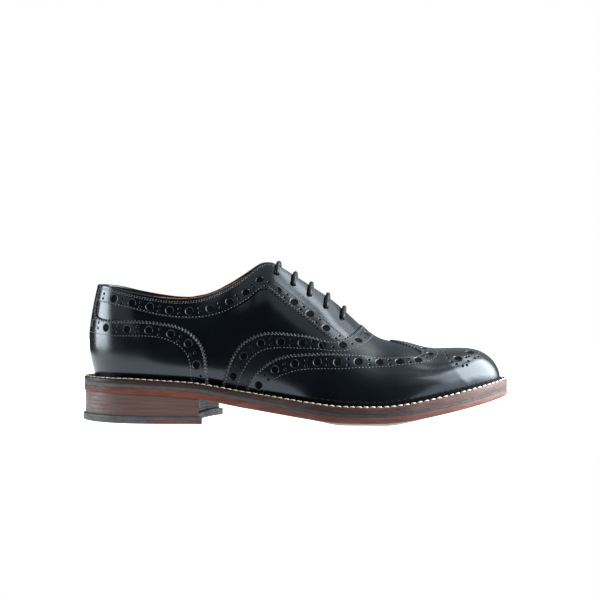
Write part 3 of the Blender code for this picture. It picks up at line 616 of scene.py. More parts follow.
def ridge_line(x):
    """Where the ridge of the last lies across the shoe."""
    return float(np.clip(section_size("ridge_y", x), feather_y(x, False), feather_y(x, True)))


def half_section(x, medial, lower, upper):
    """Points of one side of the last at x, from the feather line to the top edge."""
    ridge_y = ridge_line(x)
    bottom_y = feather_y(x, medial)
    wide = float(section_size("wide_medial" if medial else "wide_lateral", x))
    bottom_z = float(feather_z(x))
    height = float(top_z(x)) + medial * float(medial_rise(x)) - bottom_z
    belly_y = ridge_y + (bottom_y - ridge_y) * wide
    belly_z = bottom_z + height * float(section_size("belly", x))
    out = 1.0 if medial else -1.0
    top_y = ridge_y + out * float(half_open(x))
    rise = bottom_z + height - belly_z
    lean = math.radians(float(section_size("lean", x)))
    span = abs(belly_y - top_y) * math.cos(lean) + rise * math.sin(lean)
    handle = span * float(section_size("top_full", x))
    inward = min(handle, abs(belly_y - ridge_y)) * math.cos(lean)
    low = bezier(
        (
            (bottom_y, bottom_z),
            (bottom_y + FEATHER_OUT * (belly_y - bottom_y), bottom_z + FEATHER_UP * (belly_z - bottom_z)),
            (belly_y, belly_z - BELLY_DOWN * (belly_z - bottom_z)),
            (belly_y, belly_z),
        ),
        lower,
    )
    high = bezier(
        (
            (belly_y, belly_z),
            (belly_y, belly_z + rise * float(section_size("side_full", x))),
            (top_y + out * inward, bottom_z + height - handle * math.sin(lean)),
            (top_y, bottom_z + height),
        ),
        upper,
    )
    yz = np.vstack([low, high])
    over = np.clip(1 - (x - LAST_BACK_X) / BACK_REACH, 0, 1) ** 2
    forward = over * read(BACK_COLUMNS, BACK_ROWS, "forward", yz[:, 1] - bottom_z, BACK_SOFT)
    return np.column_stack([x + forward, yz])


def crest_point(x, off_ridge):
    """Point on the last at x and this far from its ridge line, with the lace opening bridged."""
    half = half_section(x, off_ridge > 0, (), FINE_HIGH)
    ridge_y = ridge_line(x)
    away = np.abs(half[:, 1] - ridge_y)
    open_half = float(half_open(x))
    if abs(off_ridge) >= open_half:
        z = np.interp(-abs(off_ridge), -away, half[:, 2])
    else:
        slope = CREST_SHARE * math.tan(math.radians(float(section_size("lean", x))))
        z = half[-1, 2] + slope * (open_half**2 - off_ridge**2) / (2 * open_half)
    return np.array([x, ridge_y + off_ridge, float(z)]) - CENTRE


def crest_normal(x, off_ridge):
    step = 1.0
    along = crest_point(x + step, off_ridge) - crest_point(x - step, off_ridge)
    across = crest_point(x, off_ridge + step) - crest_point(x, off_ridge - step)
    normal = np.cross(along, across)
    return normal / np.linalg.norm(normal)


def unit(vectors):
    return vectors / np.maximum(np.linalg.norm(vectors, axis=-1, keepdims=True), SHORTEST)


def lengths(points):
    """Distance along a line of points up to each of them."""
    return np.concatenate([[0], np.cumsum(np.linalg.norm(np.diff(points, axis=0), axis=1))])


def pick(values, place, at):
    """Rows of values, known at each place along a line, read at others."""
    return np.column_stack([np.interp(at, place, column) for column in values.T])


def evenly(points, count):
    place = lengths(points)
    return pick(points, place, np.linspace(0, place[-1], count))


def station(turn):
    """Place along the shoe of a turn."""
    return LAST_BACK_X + (LAST_TIP_X - LAST_BACK_X) * (1 - np.cos(np.radians(turn))) / 2


def turn_at(x):
    share = (np.asarray(x) - LAST_BACK_X) / (LAST_TIP_X - LAST_BACK_X)
    return np.degrees(np.arccos(1 - 2 * share))


def sweep(medial):
    """Grid of one side of the last, evenly spaced along each section."""
    rows = []
    for x in station(TURNS):
        half = half_section(x, medial, FINE_LOW, FINE_HIGH)
        place = lengths(half)
        rows.append(pick(half, place, SHARES * place[-1]))
    return np.array(rows) - CENTRE


def grid_normals(points):
    """Outward normals of both sides. The sides run on into each other at the heel and on the ridge."""
    normals = np.empty_like(points)
    closed = np.array([half_open(x) < CLOSED_HALF for x in station(TURNS)])[:, None, None]
    for side, out in ((0, 1.0), (1, -1.0)):
        here, there = points[side], points[1 - side]
        along = np.concatenate([there[1:2], here, there[-2:-1]])
        past_top = np.where(closed, there[:, -2:-1], 2 * here[:, -1:] - here[:, -2:-1])
        over = np.concatenate([2 * here[:, :1] - here[:, 1:2], here, past_top], axis=1)
        normals[side] = out * np.cross(along[2:] - along[:-2], over[:, 2:] - over[:, :-2])
    normals = unit(normals)
    normals[:, -1] = normals[:, -2]
    return normals


LAST = np.array([sweep(False), sweep(True)])
LAST_NORMALS = grid_normals(LAST)


def on_last(places, height=0.0):
    """Points and normals at (turn, share) places, this far off the last."""
    turn, share = np.asarray(places, float).T
    side = ((turn < 0) != (share > 1 + ON_RIDGE)).astype(int)
    across = np.clip(np.abs(turn) / TURNS[1], 0, len(TURNS) - LAST_CELL)
    up = np.clip(np.where(share > 1, 2 - share, share) / SHARES[1], 0, len(SHARES) - LAST_CELL)
    i, j = across.astype(int), up.astype(int)
    u, v = (across - i)[:, None], (up - j)[:, None]

    def mix(grid):
        low = grid[side, i, j] * (1 - u) + grid[side, i + 1, j] * u
        high = grid[side, i, j + 1] * (1 - u) + grid[side, i + 1, j + 1] * u
        return low * (1 - v) + high * v

    normals = unit(mix(LAST_NORMALS))
    return mix(LAST) + normals * np.reshape(height, (-1, 1)), normals


def crease(places, depth, width):
    """Presses a soft trough along these places into both sides of the last."""
    for sign in (1, -1):
        line = on_last(spline(np.array(places) * (sign, 1), CREASE_POINTS))[0]
        away = np.min([np.linalg.norm(LAST - point, axis=-1) for point in line], axis=0)
        LAST[...] -= LAST_NORMALS * (depth * np.exp(-((away / width) ** 2)))[..., None]


for crease_places, crease_depth, crease_width in CREASES:
    crease(crease_places, crease_depth, crease_width)
LAST_NORMALS = grid_normals(LAST)


def slopes(places):
    """How a point of the last moves with its turn and with its share."""
    turn, share = places.T
    ahead, behind = places.copy(), places.copy()
    ahead[:, 0] = np.minimum(turn + TURN_STEP, 180.0)
    behind[:, 0] = turn - TURN_STEP
    along = (on_last(ahead)[0] - on_last(behind)[0]) / (ahead - behind)[:, :1]
    beyond = places.copy()
    rising = (share <= 0.5) | ((share > 1 + ON_RIDGE) & (share <= 1.5))
    beyond[:, 1] += np.where(rising, SHARE_STEP, -SHARE_STEP)
    up = (on_last(beyond)[0] - on_last(places)[0]) / (beyond - places)[:, 1:]
    return along, up


def shift(places, moves):
    """Places moved over the last by these vectors."""
    along, up = slopes(places)
    a, b, c = (along * along).sum(1), (along * up).sum(1), (up * up).sum(1)
    d, e = (along * moves).sum(1), (up * moves).sum(1)
    det = np.maximum(a * c - b * b, FLATTEST)
    return places + np.column_stack([(c * d - b * e) / det, (a * e - b * d) / det])


def ways(points, closed):
    """Direction of a line at each of its points."""
    if closed:
        return unit(np.roll(points, -1, axis=0) - np.roll(points, 1, axis=0))
    return unit(np.gradient(points, axis=0))


def beside(path, distance, closed=False):
    """The path moved over the last to its left, seen from outside."""
    distance = np.broadcast_to(distance, len(path)).astype(float)
    steps = max(1, math.ceil(np.abs(distance).max() / BESIDE_STEP))
    for _ in range(steps):
        points, normals = on_last(path)
        left = unit(np.cross(normals, ways(points, closed)))
        path = shift(path, left * (distance / steps)[:, None])
    return path


def trace(rows, spacing=PLAIN_SPACING):
    """A smooth line through rows of places, its points evenly spaced on the last."""
    path = spline(np.array(rows) * CHART, TRACE_POINTS) / CHART
    place = lengths(on_last(path)[0])
    at = np.linspace(0, place[-1], max(2, round(place[-1] / spacing) + 1))
    return pick(path, place, at)


def gimped(rows, inside):
    """The saw-toothed edge of a panel that lies on its left (1) or right (-1)."""
    path = trace(rows, GIMP_PITCH / GIMP_STEPS)
    tooth = np.abs(np.arange(len(path)) / GIMP_STEPS % 1 * 2 - 1)
    return beside(path, inside * GIMP_DEPTH * tooth)


def round_back(path):
    """The path on the medial side, carried round the heel."""
    return (np.array(path) * (-1, 1))[::-1]


def over_ridge(path):
    """The path on the medial side, carried over the ridge."""
    return (np.array(path) * (1, -1) + (0, 2))[::-1]


def straight(start, end):
    return trace((start, end))


def circles(places, radius, count):
    """Rings on the last round these places, as one row of places each."""
    places = np.array(places, float)
    along, up = slopes(places)
    normals = on_last(places)[1]
    first = unit(along)
    second = np.cross(normals, first)
    rings = []
    for angle in 2 * np.pi * np.arange(count) / count:
        move = (first * math.cos(angle) + second * math.sin(angle)) * radius
        rings.append(shift(places, move))
    return np.array(rings).transpose(1, 0, 2)


def within(points, outline):
    """Which of the points lie inside a closed outline, all on the flat chart."""
    inside = np.zeros(len(points), bool)
    ahead = np.roll(outline, -1, axis=0)
    x, y = points.T
    for (ax, ay), (bx, by) in zip(outline, ahead):
        if ay != by:
            inside ^= ((ay > y) != (by > y)) & (x < (bx - ax) * (y - ay) / (by - ay) + ax)
    return inside


class Shape:
    """Points with their normals and the triangles between them, in millimetres."""

    def __init__(self):
        self.points, self.normals, self.faces, self.marks, self.count = [], [], [], [], 0

    def add(self, points, normals):
        points = np.reshape(points, (-1, 3))
        self.points.append(points)
        self.normals.append(np.broadcast_to(normals, points.shape))
        self.count += len(points)
        return np.arange(self.count - len(points), self.count)

    def triangles(self, faces, marks=0):
        self.faces.append(np.reshape(faces, (-1, 3)))
        self.marks.append(np.broadcast_to(marks, len(self.faces[-1])))

    def quads(self, corners, marks=0):
        a, b, c, d = (np.ravel(corner) for corner in corners)
        self.triangles(np.column_stack([a, b, c]), marks)
        self.triangles(np.column_stack([a, c, d]), marks)

    def grid(self, points, normals, wrap_rows=False, wrap_columns=False, marks=0):
        """A sheet over rows and columns of points. A mark is the number of a face's finish."""
        rows, columns = points.shape[:2]
        index = self.add(points, np.reshape(normals, (-1, 3))).reshape(rows, columns)
        if wrap_rows:
            index = np.vstack([index, index[:1]])
        if wrap_columns:
            index = np.hstack([index, index[:, :1]])
        corners = index[:-1, :-1], index[:-1, 1:], index[1:, 1:], index[1:, :-1]
        self.quads(corners, np.broadcast_to(marks, corners[0].shape).ravel())

    def piece(self, name, finishes, slot, nodes=()):
        """The finished object, its faces in their finishes."""
        points, normals = np.vstack(self.points), unit(np.vstack(self.normals))
        faces = np.vstack(self.faces)
        corners = points[faces]
        across = np.cross(corners[:, 1] - corners[:, 0], corners[:, 2] - corners[:, 0])
        turned = (across * normals[faces].sum(axis=1)).sum(axis=1) < 0
        faces[turned] = faces[turned][:, ::-1]
        kept = np.linalg.norm(across, axis=1) > SMALLEST_FACE
        mesh = bpy.data.meshes.new(name)
        mesh.from_pydata((points * MM).tolist(), [], faces[kept].tolist())
        mesh.polygons.foreach_set("material_index", np.concatenate(self.marks)[kept].astype(np.int32))
        mesh.shade_smooth()
        mesh.normals_split_custom_set_from_vertices(normals.tolist())
        return dress(bpy.data.objects.new(name, mesh), finishes, nodes)


def dress(obj, finishes, nodes):
    """Puts a piece into the scene, on the body, with its finishes, and hides the solids that it stands for.
    """
    bpy.context.scene.collection.objects.link(obj)
    for finish in finishes if isinstance(finishes, tuple) else (finishes,):
        obj.data.materials.append(finish)
    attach(obj, "root")
    if nodes:
        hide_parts(*nodes)
    return obj


def inner_points(outline, rings):
    """Chart points inside the outline and clear of its edge and its holes."""
    low, high = outline.min(axis=0), outline.max(axis=0)
    x, y = (np.arange(a, b, CHART_SPACING) for a, b in zip(low, high))
    points = np.array([(u + CHART_SPACING / 2 * (j % 2), v) for j, v in enumerate(y) for u in x])
    points = points[within(points, outline)]
    tree = KDTree(len(outline) + sum(map(len, rings)))
    for i, point in enumerate(np.vstack([outline, *rings])):
        tree.insert((*point, 0), i)
    tree.balance()
    clear = [tree.find((*point, 0))[2] > CHART_SPACING * CLEARANCE for point in points]
    points = points[clear]
    for ring in rings:
        near = np.linalg.norm(points - ring.mean(axis=0), axis=1) < np.ptp(ring, axis=0).max()
        near[near] = within(points[near], ring)
        points = points[~near]
    return points


def sheet_faces(outline, rings):
    """Triangles of a flat chart region with holes, and the points that they use."""
    parts = [outline, *rings]
    points = np.vstack([*parts, inner_points(outline, rings)])
    loop_of = np.full(len(points), -1)
    edges, start = [], 0
    for number, part in enumerate(parts):
        index = np.arange(start, start + len(part))
        loop_of[index] = number
        edges += list(zip(index.tolist(), np.roll(index, -1).tolist()))
        start += len(part)
    found = delaunay_2d_cdt([Vector(point) for point in points], edges, [], 0, CHART_WELD)
    first = np.array([sources[0] if sources else -1 for sources in found[3]])
    faces = first[np.array([face for face in found[2] if len(face) == 3])]
    faces = faces[(faces >= 0).all(axis=1)]
    loops = loop_of[faces]
    same = (loops[:, 0] == loops[:, 1]) & (loops[:, 1] == loops[:, 2])
    inside = np.ones(len(faces), bool)
    inside[same & (loops[:, 0] > 0)] = False
    rim = same & (loops[:, 0] == 0)
    inside[rim] = within(points[faces[rim]].mean(axis=1), outline)
    return points, faces[inside]


def joined(*parts):
    """One closed outline from parts that meet, and which of its points lie on a toothed edge."""
    outline = np.vstack([path[:-1] for path, _ in parts])
    return outline, np.concatenate([np.full(len(path) - 1, toothed) for path, toothed in parts])


def panel(shape, outline, holes, height, foot, out=1.0, toothed=False):
    """Adds leather over the last: its face, its rounded edge and the walls of its holes.

    Each group of holes is places, radius, rim and count of sides. Edges go down to the foot, and so do
    the eyelets. Punched holes end on a floor of near-black matte leather, painted shade.
    """
    outline = np.array(outline)
    toothed = np.broadcast_to(toothed, len(outline))
    ahead = np.roll(outline, -1, axis=0)
    if (outline[:, 0] * ahead[:, 1] - ahead[:, 0] * outline[:, 1]).sum() < 0:
        outline, toothed = outline[::-1], toothed[::-1]
    soft = np.where(toothed, GIMP_ROUND, EDGE_ROUND) if out > 0 else np.full(len(outline), LINING_ROUND)
    face_edge = beside(outline, soft, closed=True)
    face_edge[:, 1] = np.clip(face_edge[:, 1], 0.0, 2.0)
    groups = [(circles(places, r + rim, n), circles(places, r, n), rim) for places, r, rim, n in holes]
    rings = [ring for outer, _, _ in groups for ring in outer]
    chart, faces = sheet_faces(face_edge * CHART, [ring * CHART for ring in rings])
    points, normals = on_last(chart / CHART, height)
    index = shape.add(points, normals * out)
    shape.triangles(index[faces])
    edge, normals = on_last(outline)
    outward = unit(np.cross(ways(edge, True), normals))
    rows, facing = [on_last(face_edge, height)[0]], [normals]
    for share in EDGE_STEPS:
        place = face_edge * (1 - share) + outline * share
        rows.append(on_last(place, height - soft * (1 - math.sqrt(1 - share**2)))[0])
        facing.append(normals * (1 - share) + outward * share)
    rows.append(on_last(outline, foot)[0])
    facing.append(outward)
    shape.grid(np.array(rows), np.array(facing), wrap_columns=True, marks=toothed)
    for outer, inner, rim in groups:
        marks = np.array(HOLE_MARKS)[:, None] * (rim > EYELET_RIM)
        closed = out > 0 and rim > EYELET_RIM
        bottom = height - HOLE_DEPTH if closed else foot
        for wide, narrow in zip(outer, inner):
            edge, normals = on_last(narrow)
            inward = unit(edge.mean(axis=0) - edge)
            rows, facing = [on_last(wide, height)[0]], [normals * out]
            for share in RIM_STEPS:
                place = wide * (1 - share) + narrow * share
                drop = min(rim * (1 - math.sqrt(1 - share**2)), HOLE_DEPTH)
                rows.append(on_last(place, height - out * drop)[0])
                facing.append(normals * out * math.sqrt(1 - share**2) + inward * share)
            rows.append(on_last(narrow, bottom)[0])
            facing.append(inward)
            if closed:
                middle = np.broadcast_to(narrow.mean(axis=0), narrow.shape)
                rows += [rows[-1], on_last(middle, bottom)[0]]
                facing += [normals, normals]
            shape.grid(np.array(rows), np.array(facing), wrap_columns=True, marks=marks[: len(rows) - 1])


def bands(holes, off=PIN_OFF, ends=()):
    """Large holes and the pairs of pinholes between them and past them, across the band."""
    path = np.array(holes)
    points = on_last(path)[0]
    middles = [((path[i] + path[i + 1]) / 2, points[i + 1] - points[i]) for i in range(len(path) - 1)]
    middles += [(np.array(end), points[near + 1] - points[near]) for end, near in ends]
    pins = []
    for middle, way in middles:
        normal = on_last(middle[None])[1]
        across = unit(np.cross(normal, unit(way)[None]))
        pins += [shift(middle[None], across * aside)[0] for aside in (-off, off)]
    return path, np.array(pins)


def both_ways(places, mirror):
    """Places of one side and of the other, those on the centre line only once."""
    other = mirror(places)
    apart = np.linalg.norm(other - np.array(places)[::-1], axis=1) > SAME_PLACE
    return np.vstack([places, other[apart]])


def punched(holes, mirror, ends=()):
    large, pins = bands(holes, ends=ends)
    large, pins = both_ways(large, mirror), both_ways(pins, mirror)
    return [(large, HOLE_RADIUS, HOLE_RIM, HOLE_SIDES), (pins, PIN_RADIUS, PIN_RIM, PIN_SIDES)]


def sew(shape, path, height, pitch=STITCH_PITCH, radius=STITCH_RADIUS):
    """A row of stitches along a path of places."""
    points, normals = on_last(path, height)
    place = lengths(points)
    count = max(1, round(place[-1] / pitch))
    at = (np.arange(count) + 0.5) * place[-1] / count
    middle, way, normal = (pick(rows, place, at) for rows in (points, ways(points, False), normals))
    thread(shape, middle, unit(way), unit(normal), STITCH_LENGTH, np.full(count, radius))


def thread(shape, middle, way, normal, length, radius):
    """Stitches as small beads of thread that dip into the leather at both ends."""
    side = np.cross(normal, way)
    angles = 2 * np.pi * np.arange(STITCH_SIDES) / STITCH_SIDES
    for i in range(len(middle)):
        rows, facing = [], []
        for along, wide, sunk in STITCH_PROFILE:
            centre = middle[i] + way[i] * along * length / 2 + normal[i] * sunk * radius[i]
            spoke = np.outer(np.cos(angles), side[i]) + np.outer(np.sin(angles), normal[i])
            rows.append(centre + spoke * radius[i] * wide)
            facing.append(spoke + way[i] * along)
        shape.grid(np.array(rows), np.array(facing), wrap_columns=True)


def node(tree, kind, **settings):
    made = tree.nodes.new(kind)
    for key, value in settings.items():
        setattr(made, key, value)
    return made


class Finish:
    """A procedural material in the making: colour, roughness and relief from noise over the object."""

    def __init__(self, name, **constants):
        self.material = bpy.data.materials.new(name)
        self.material.use_nodes = True
        self.tree = self.material.node_tree
        self.shader = self.tree.nodes["Principled BSDF"]
        for key, value in constants.items():
            self.shader.inputs[key.replace("_", " ")].default_value = value
        self.place = node(self.tree, "ShaderNodeTexCoord").outputs["Object"]
        self.relief = None

    def link(self, source, target):
        self.tree.links.new(source, target)

    def texture(self, kind, stretch, values, **settings):
        """A texture over the object, stretched along its axes."""
        mapping = node(self.tree, "ShaderNodeMapping")
        mapping.inputs["Scale"].default_value = stretch
        self.link(self.place, mapping.inputs["Vector"])
        made = node(self.tree, kind, **settings)
        for key, value in values.items():
            made.inputs[key].default_value = value
        self.link(mapping.outputs["Vector"], made.inputs["Vector"])
        return made.outputs

    def noise(self, scale, detail=3.0, rough=0.5, stretch=(1, 1, 1)):
        values = {"Scale": scale, "Detail": detail, "Roughness": rough}
        return self.texture("ShaderNodeTexNoise", stretch, values)["Fac"]

    def cells(self, scale):
        values = {"Scale": scale}
        return self.texture("ShaderNodeTexVoronoi", (1, 1, 1), values, feature="SMOOTH_F1")["Distance"]

    def span(self, source, *ends):
        """The source carried from one range to another."""
        made = node(self.tree, "ShaderNodeMapRange")
        for key, value in zip(("From Min", "From Max", "To Min", "To Max"), ends):
            made.inputs[key].default_value = value
        self.link(source, made.inputs["Value"])
        return made.outputs["Result"]

    def colour(self, source, *stops):
        ramp = node(self.tree, "ShaderNodeValToRGB")
        elements = ramp.color_ramp.elements
        while len(elements) < len(stops):
            elements.new(0.5)
        for element, (place, colour) in zip(elements, stops):
            element.position = place
            element.color = (*colour, 1)
        self.link(source, ramp.inputs["Fac"])
        self.link(ramp.outputs["Color"], self.shader.inputs["Base Color"])
        return self

    def along(self, dark, light, source, low, high):
        """Colour from two ramps over one source, the first giving way to the second from low to high x."""
        ends = []
        for stops in (dark, light):
            self.colour(source, *stops)
            ends.append(self.shader.inputs["Base Color"].links[0].from_socket)
        split = node(self.tree, "ShaderNodeSeparateXYZ")
        self.link(self.place, split.inputs["Vector"])
        mix = node(self.tree, "ShaderNodeMix", data_type="RGBA")
        self.link(self.span(split.outputs["X"], low, high), mix.inputs["Factor"])
        for end, socket in zip(ends, (socket for socket in mix.inputs if socket.type == "RGBA")):
            self.link(end, socket)
        mixed = next(socket for socket in mix.outputs if socket.type == "RGBA")
        self.link(mixed, self.shader.inputs["Base Color"])
        return self

    def rough(self, source, low, high):
        self.link(self.span(source, *NOISE_RANGE, low, high), self.shader.inputs["Roughness"])
        return self

    def bump(self, source, depth, strength=1.0):
        made = node(self.tree, "ShaderNodeBump")
        made.inputs["Strength"].default_value = strength
        made.inputs["Distance"].default_value = depth
        self.link(source, made.inputs["Height"])
        if self.relief:
            self.link(self.relief, made.inputs["Normal"])
        self.relief = made.outputs["Normal"]
        self.link(self.relief, self.shader.inputs["Normal"])
        return self


def black_leather(name="black_calf", roughness=(0.17, 0.22), gloss=0.5):
    tint = (0.84, 0.92, 1.0, 1.0)
    coat = {"Coat_Weight": 0.04, "Coat_Roughness": 0.5}
    finish = Finish(name, **coat, Specular_Tint=tint, Specular_IOR_Level=gloss)
    # The calf is near black behind the middle of the shoe and lighter in front: painted shade over the heel
    # and quarters.
    finish.along(
        ((0.3, (0.0005, 0.0011, 0.0017)), (0.7, (0.0011, 0.0021, 0.0032))),
        ((0.3, (0.0032, 0.0046, 0.0060)), (0.7, (0.0050, 0.0069, 0.0090))),
        finish.noise(55, 4),
        0.0,
        0.05,
    )
    finish.rough(finish.noise(70, 5), *roughness)
    finish.bump(finish.cells(1500), 0.00006, 0.2)
    return finish.bump(finish.noise(3200, 2), 0.00003, 0.25).material


def finished(name, tint, ramps, rough, bumps, span=None, **constants):
    """A material from its tables.

    They are the noise and the ramps of its colour, the noise and the range of its roughness, and the noise,
    depth and strength of each layer of relief. Over a span along x the first ramp gives way to the second.
    """
    finish = Finish(name, **constants)
    source = finish.noise(*tint)
    if span:
        finish.along(*ramps, source, *span)
    else:
        finish.colour(source, *ramps)
    if rough:
        finish.rough(finish.noise(*rough[0]), *rough[1])
    for grain, depth, strength in bumps:
        finish.bump(finish.noise(*grain), depth, strength)
    return finish.material


def thread_finish(name, dark, light, roughness, gloss=0.5):
    relief = (((5200, 2, 0.5, (1, 1, 2)), 0.00008, 0.6),)
    ramp = ((0.3, dark), (0.7, light))
    return finished(name, (700, 2), ramp, None, relief, Roughness=roughness, Specular_IOR_Level=gloss)


def all_finishes():
    leather = black_leather()
    # Cut edges of the leather, greyer than its face: partly the raw edge, partly painted highlight for the
    # lit flanks of the punched teeth.
    edge = finished(
        "cut_edge_and_sheen",
        (300, 4),
        ((0.3, (0.013, 0.015, 0.018)), (0.7, (0.030, 0.033, 0.037))),
        ((400, 3), (0.35, 0.5)),
        (((2600, 3), 0.00008, 0.5),),
    )
    # Near-black matte leather at the bottom of the punched holes: painted shade in the holes
    under = finished(
        "hole_floor_shade",
        (900, 3),
        ((0.3, (0.0006, 0.0008, 0.0010)), (0.7, (0.0014, 0.0017, 0.0020))),
        ((400, 3), (0.6, 0.8)),
        (((2600, 3), 0.00008, 0.4),),
        Specular_IOR_Level=0.05,
    )
    return {
        "leather": leather,
        "panel": (leather, edge, under),
        "vamp": (black_leather("flexed_calf", (0.30, 0.36), 0.26), edge, under),
        "lining": finished(
            "tan_lining",
            (90, 5),
            ((0.3, (0.50, 0.26, 0.12)), (0.7, (0.72, 0.42, 0.22))),
            None,
            (((1400, 3), 0.00008, 0.5),),
            Roughness=0.6,
        ),
        # Darker towards the heel and lighter towards the toe: painted shade at the heel and painted light
        # at the toe.
        "welt": finished(
            "welt_leather",
            (60, 6, 0.6, (1, 1, 4)),
            (
                (
                    (0.25, (0.008, 0.0036, 0.0028)), (0.5, (0.015, 0.0075, 0.006)),
                    (0.8, (0.030, 0.016, 0.013)),
                ),
                ((0.25, (0.048, 0.026, 0.021)), (0.5, (0.078, 0.046, 0.039)), (0.8, (0.13, 0.083, 0.073))),
            ),
            ((150, 4), (0.32, 0.55)),
            (((420, 4, 0.6, (1, 1, 5)), 0.0002, 0.5), ((2400, 2), 0.00006, 0.5)),
            (-0.05, 0.09),
            Specular_IOR_Level=0.2,
        ),
        # Lighter and less red towards the toe: painted light where the toe catches the lamps.
        "outsole": finished(
            "outsole_leather",
            (55, 6, 0.6, (1, 1, 5)),
            (
                ((0.25, (0.060, 0.016, 0.009)), (0.5, (0.094, 0.027, 0.017)), (0.8, (0.145, 0.050, 0.034))),
                ((0.25, (0.072, 0.031, 0.023)), (0.5, (0.108, 0.048, 0.036)), (0.8, (0.152, 0.077, 0.062))),
            ),
            ((120, 4), (0.35, 0.6)),
            (((500, 4, 0.6, (1, 1, 5)), 0.0002, 0.5), ((2600, 2), 0.00006, 0.5)),
            (-0.05, 0.05),
            Specular_IOR_Level=0.15,
        ),
        "midsole": finished(
            "midsole_grey",
            (160, 5),
            ((0.3, (0.020, 0.019, 0.0185)), (0.7, (0.037, 0.0355, 0.0345))),
            ((260, 3), (0.55, 0.75)),
            (((1800, 3), 0.0001, 0.5),),
        ),
        "stack": finished(
            "stack_leather",
            (40, 6, 0.6, (1, 1, 22)),
            ((0.2, (0.045, 0.020, 0.0155)), (0.5, (0.064, 0.031, 0.024)), (0.85, (0.088, 0.046, 0.037))),
            ((130, 4), (0.36, 0.6)),
            (((90, 5, 0.6, (1, 1, 16)), 0.0002, 0.35), ((2600, 2), 0.00006, 0.5)),
            Specular_IOR_Level=0.32,
        ),
        "rubber": finished(
            "lift_rubber",
            (120, 5),
            ((0.3, (0.020, 0.021, 0.023)), (0.7, (0.039, 0.0405, 0.044))),
            ((300, 3), (0.5, 0.72)),
            (((1500, 3), 0.00012, 0.5),),
        ),
        "dark_front": finished(
            "breast_dark",
            (60, 5, 0.6, (1, 1, 12)),
            ((0.3, (0.007, 0.0073, 0.008)), (0.7, (0.014, 0.014, 0.015))),
            ((130, 4), (0.3, 0.5)),
            (((90, 5, 0.6, (1, 1, 16)), 0.0002, 0.35),),
            Specular_IOR_Level=0.2,
        ),
        # Dark grey thread, lightened so that its stitches show as the lit beads do: partly painted
        # highlight.
        "grey_thread_and_sheen": thread_finish("grey_thread_and_sheen", (0.035, 0.040, 0.046), (0.09, 0.098, 0.107), 0.35),
        "cream_thread": thread_finish("cream_thread", (0.50, 0.40, 0.29), (0.80, 0.67, 0.52), 0.6),
        "lace": thread_finish("lace_cotton", (0.0015, 0.0018, 0.0021), (0.005, 0.0055, 0.0062), 0.45, 0.3),
    }


def closed_ring(loop, height, rise=0.0):
    """A closed outline as one ring from the heel along the lateral side, this far over a height."""
    lateral, medial = sides(loop)
    share = (1 - np.cos(np.linspace(0, np.pi, EDGE_STATIONS))) / 2
    x = lateral[0, 0] + (lateral[-1, 0] - lateral[0, 0]) * share
    z = height(x) + rise
    rows = [np.column_stack([x, np.interp(x, half[:, 0], half[:, 1]), z]) for half in (lateral, medial)]
    return np.vstack([rows[0], rows[1][-2:0:-1]]) - CENTRE


def edge_rings(height, rows):
    return [closed_ring(inset(SOLE_EDGE, depth), height, rise) for depth, rise in rows]


def blend(low, high, share):
    """A height between two others."""
    return lambda x: low(x) * (1 - share) + high(x) * share


def loft(name, rings, material, nodes, hollow=False, strips=True):
    """A closed piece through rings of points, with ends of strips across the shoe or of one flat face."""
    bm = bmesh.new()
    levels = [[bm.verts.new(point * MM) for point in ring] for ring in rings]
    pairs = list(zip(levels, levels[1:])) + ([(levels[-1], levels[0])] if hollow else [])
    for upper, lower in pairs:
        for i in range(len(upper)):
            j = (i + 1) % len(upper)
            bm.faces.new((upper[i], upper[j], lower[j], lower[i]))
    for end in () if hollow else (levels[0], levels[-1]):
        if strips:
            for i in range(len(end) // 2):
                bm.faces.new(dict.fromkeys((end[i], end[i + 1], end[-i - 1], end[-i])))
        else:
            bm.faces.new(end)
    bmesh.ops.remove_doubles(bm, verts=bm.verts, dist=WELD * MM)
    bmesh.ops.recalc_face_normals(bm, faces=bm.faces)
    bmesh.ops.triangulate(bm, faces=bm.faces)
    mesh = bpy.data.meshes.new(name)
    bm.to_mesh(mesh)
    bm.free()
    mesh.shade_smooth()
    mesh.set_sharp_from_angle(angle=math.radians(SHARP_ANGLE))
    return dress(bpy.data.objects.new(name, mesh), material, nodes)


def heel_arc():
    """Centre and radius of the hollow front of the heel."""
    lateral, medial = np.array(BREAST_LATERAL), np.array(BREAST_MEDIAL)
    chord = medial - lateral
    half = np.linalg.norm(chord) / 2
    forward = np.array([chord[1], -chord[0]]) / (2 * half)
    radius = (half**2 + BREAST_HOLLOW**2) / (2 * BREAST_HOLLOW)
    return (lateral + medial) / 2 + forward * (radius - BREAST_HOLLOW), radius


def heel_ring(depth, height, back=None, front=True):
    """Closed ring round the heel or a part of it, from one cut along the shoe to the next."""
    centre, radius = heel_arc()
    radius += depth
    halves = []
    for half in sides(inset(SOLE_EDGE, depth)):
        if front:
            away = np.hypot(*(half - centre).T) - radius
            end = int(np.argmax(away < 0))
            share = away[end - 1] / (away[end - 1] - away[end])
            half = np.vstack([half[:end], half[end - 1] + share * (half[end] - half[end - 1])])
        else:
            y = np.interp(INSERT_BACK_X, half[:, 0], half[:, 1])
            half = np.vstack([half[half[:, 0] < INSERT_BACK_X], (INSERT_BACK_X, y)])
        if back is not None:
            y = np.interp(back, half[:, 0], half[:, 1])
            half = np.vstack([(back, y), half[half[:, 0] > back]])
        halves.append(evenly(half, HEEL_POINTS))
    lateral, medial = halves
    if front:
        corners = (lateral[-1], medial[-1])
        start, end = (math.atan2(*(corner - centre)[::-1]) % (2 * math.pi) for corner in corners)
        angles = np.linspace(start, end, BREAST_POINTS)[1:-1]
        across = centre + radius * np.column_stack([np.cos(angles), np.sin(angles)])
    else:
        across = np.linspace(lateral[-1], medial[-1], BREAST_POINTS)[1:-1]
    loop = np.vstack([lateral, across, medial[::-1]])
    if back is None:
        loop = loop[:-1]
    return np.column_stack([loop, height(loop[:, 0])]) - CENTRE


def level(height):
    return lambda x: np.full_like(x, height)


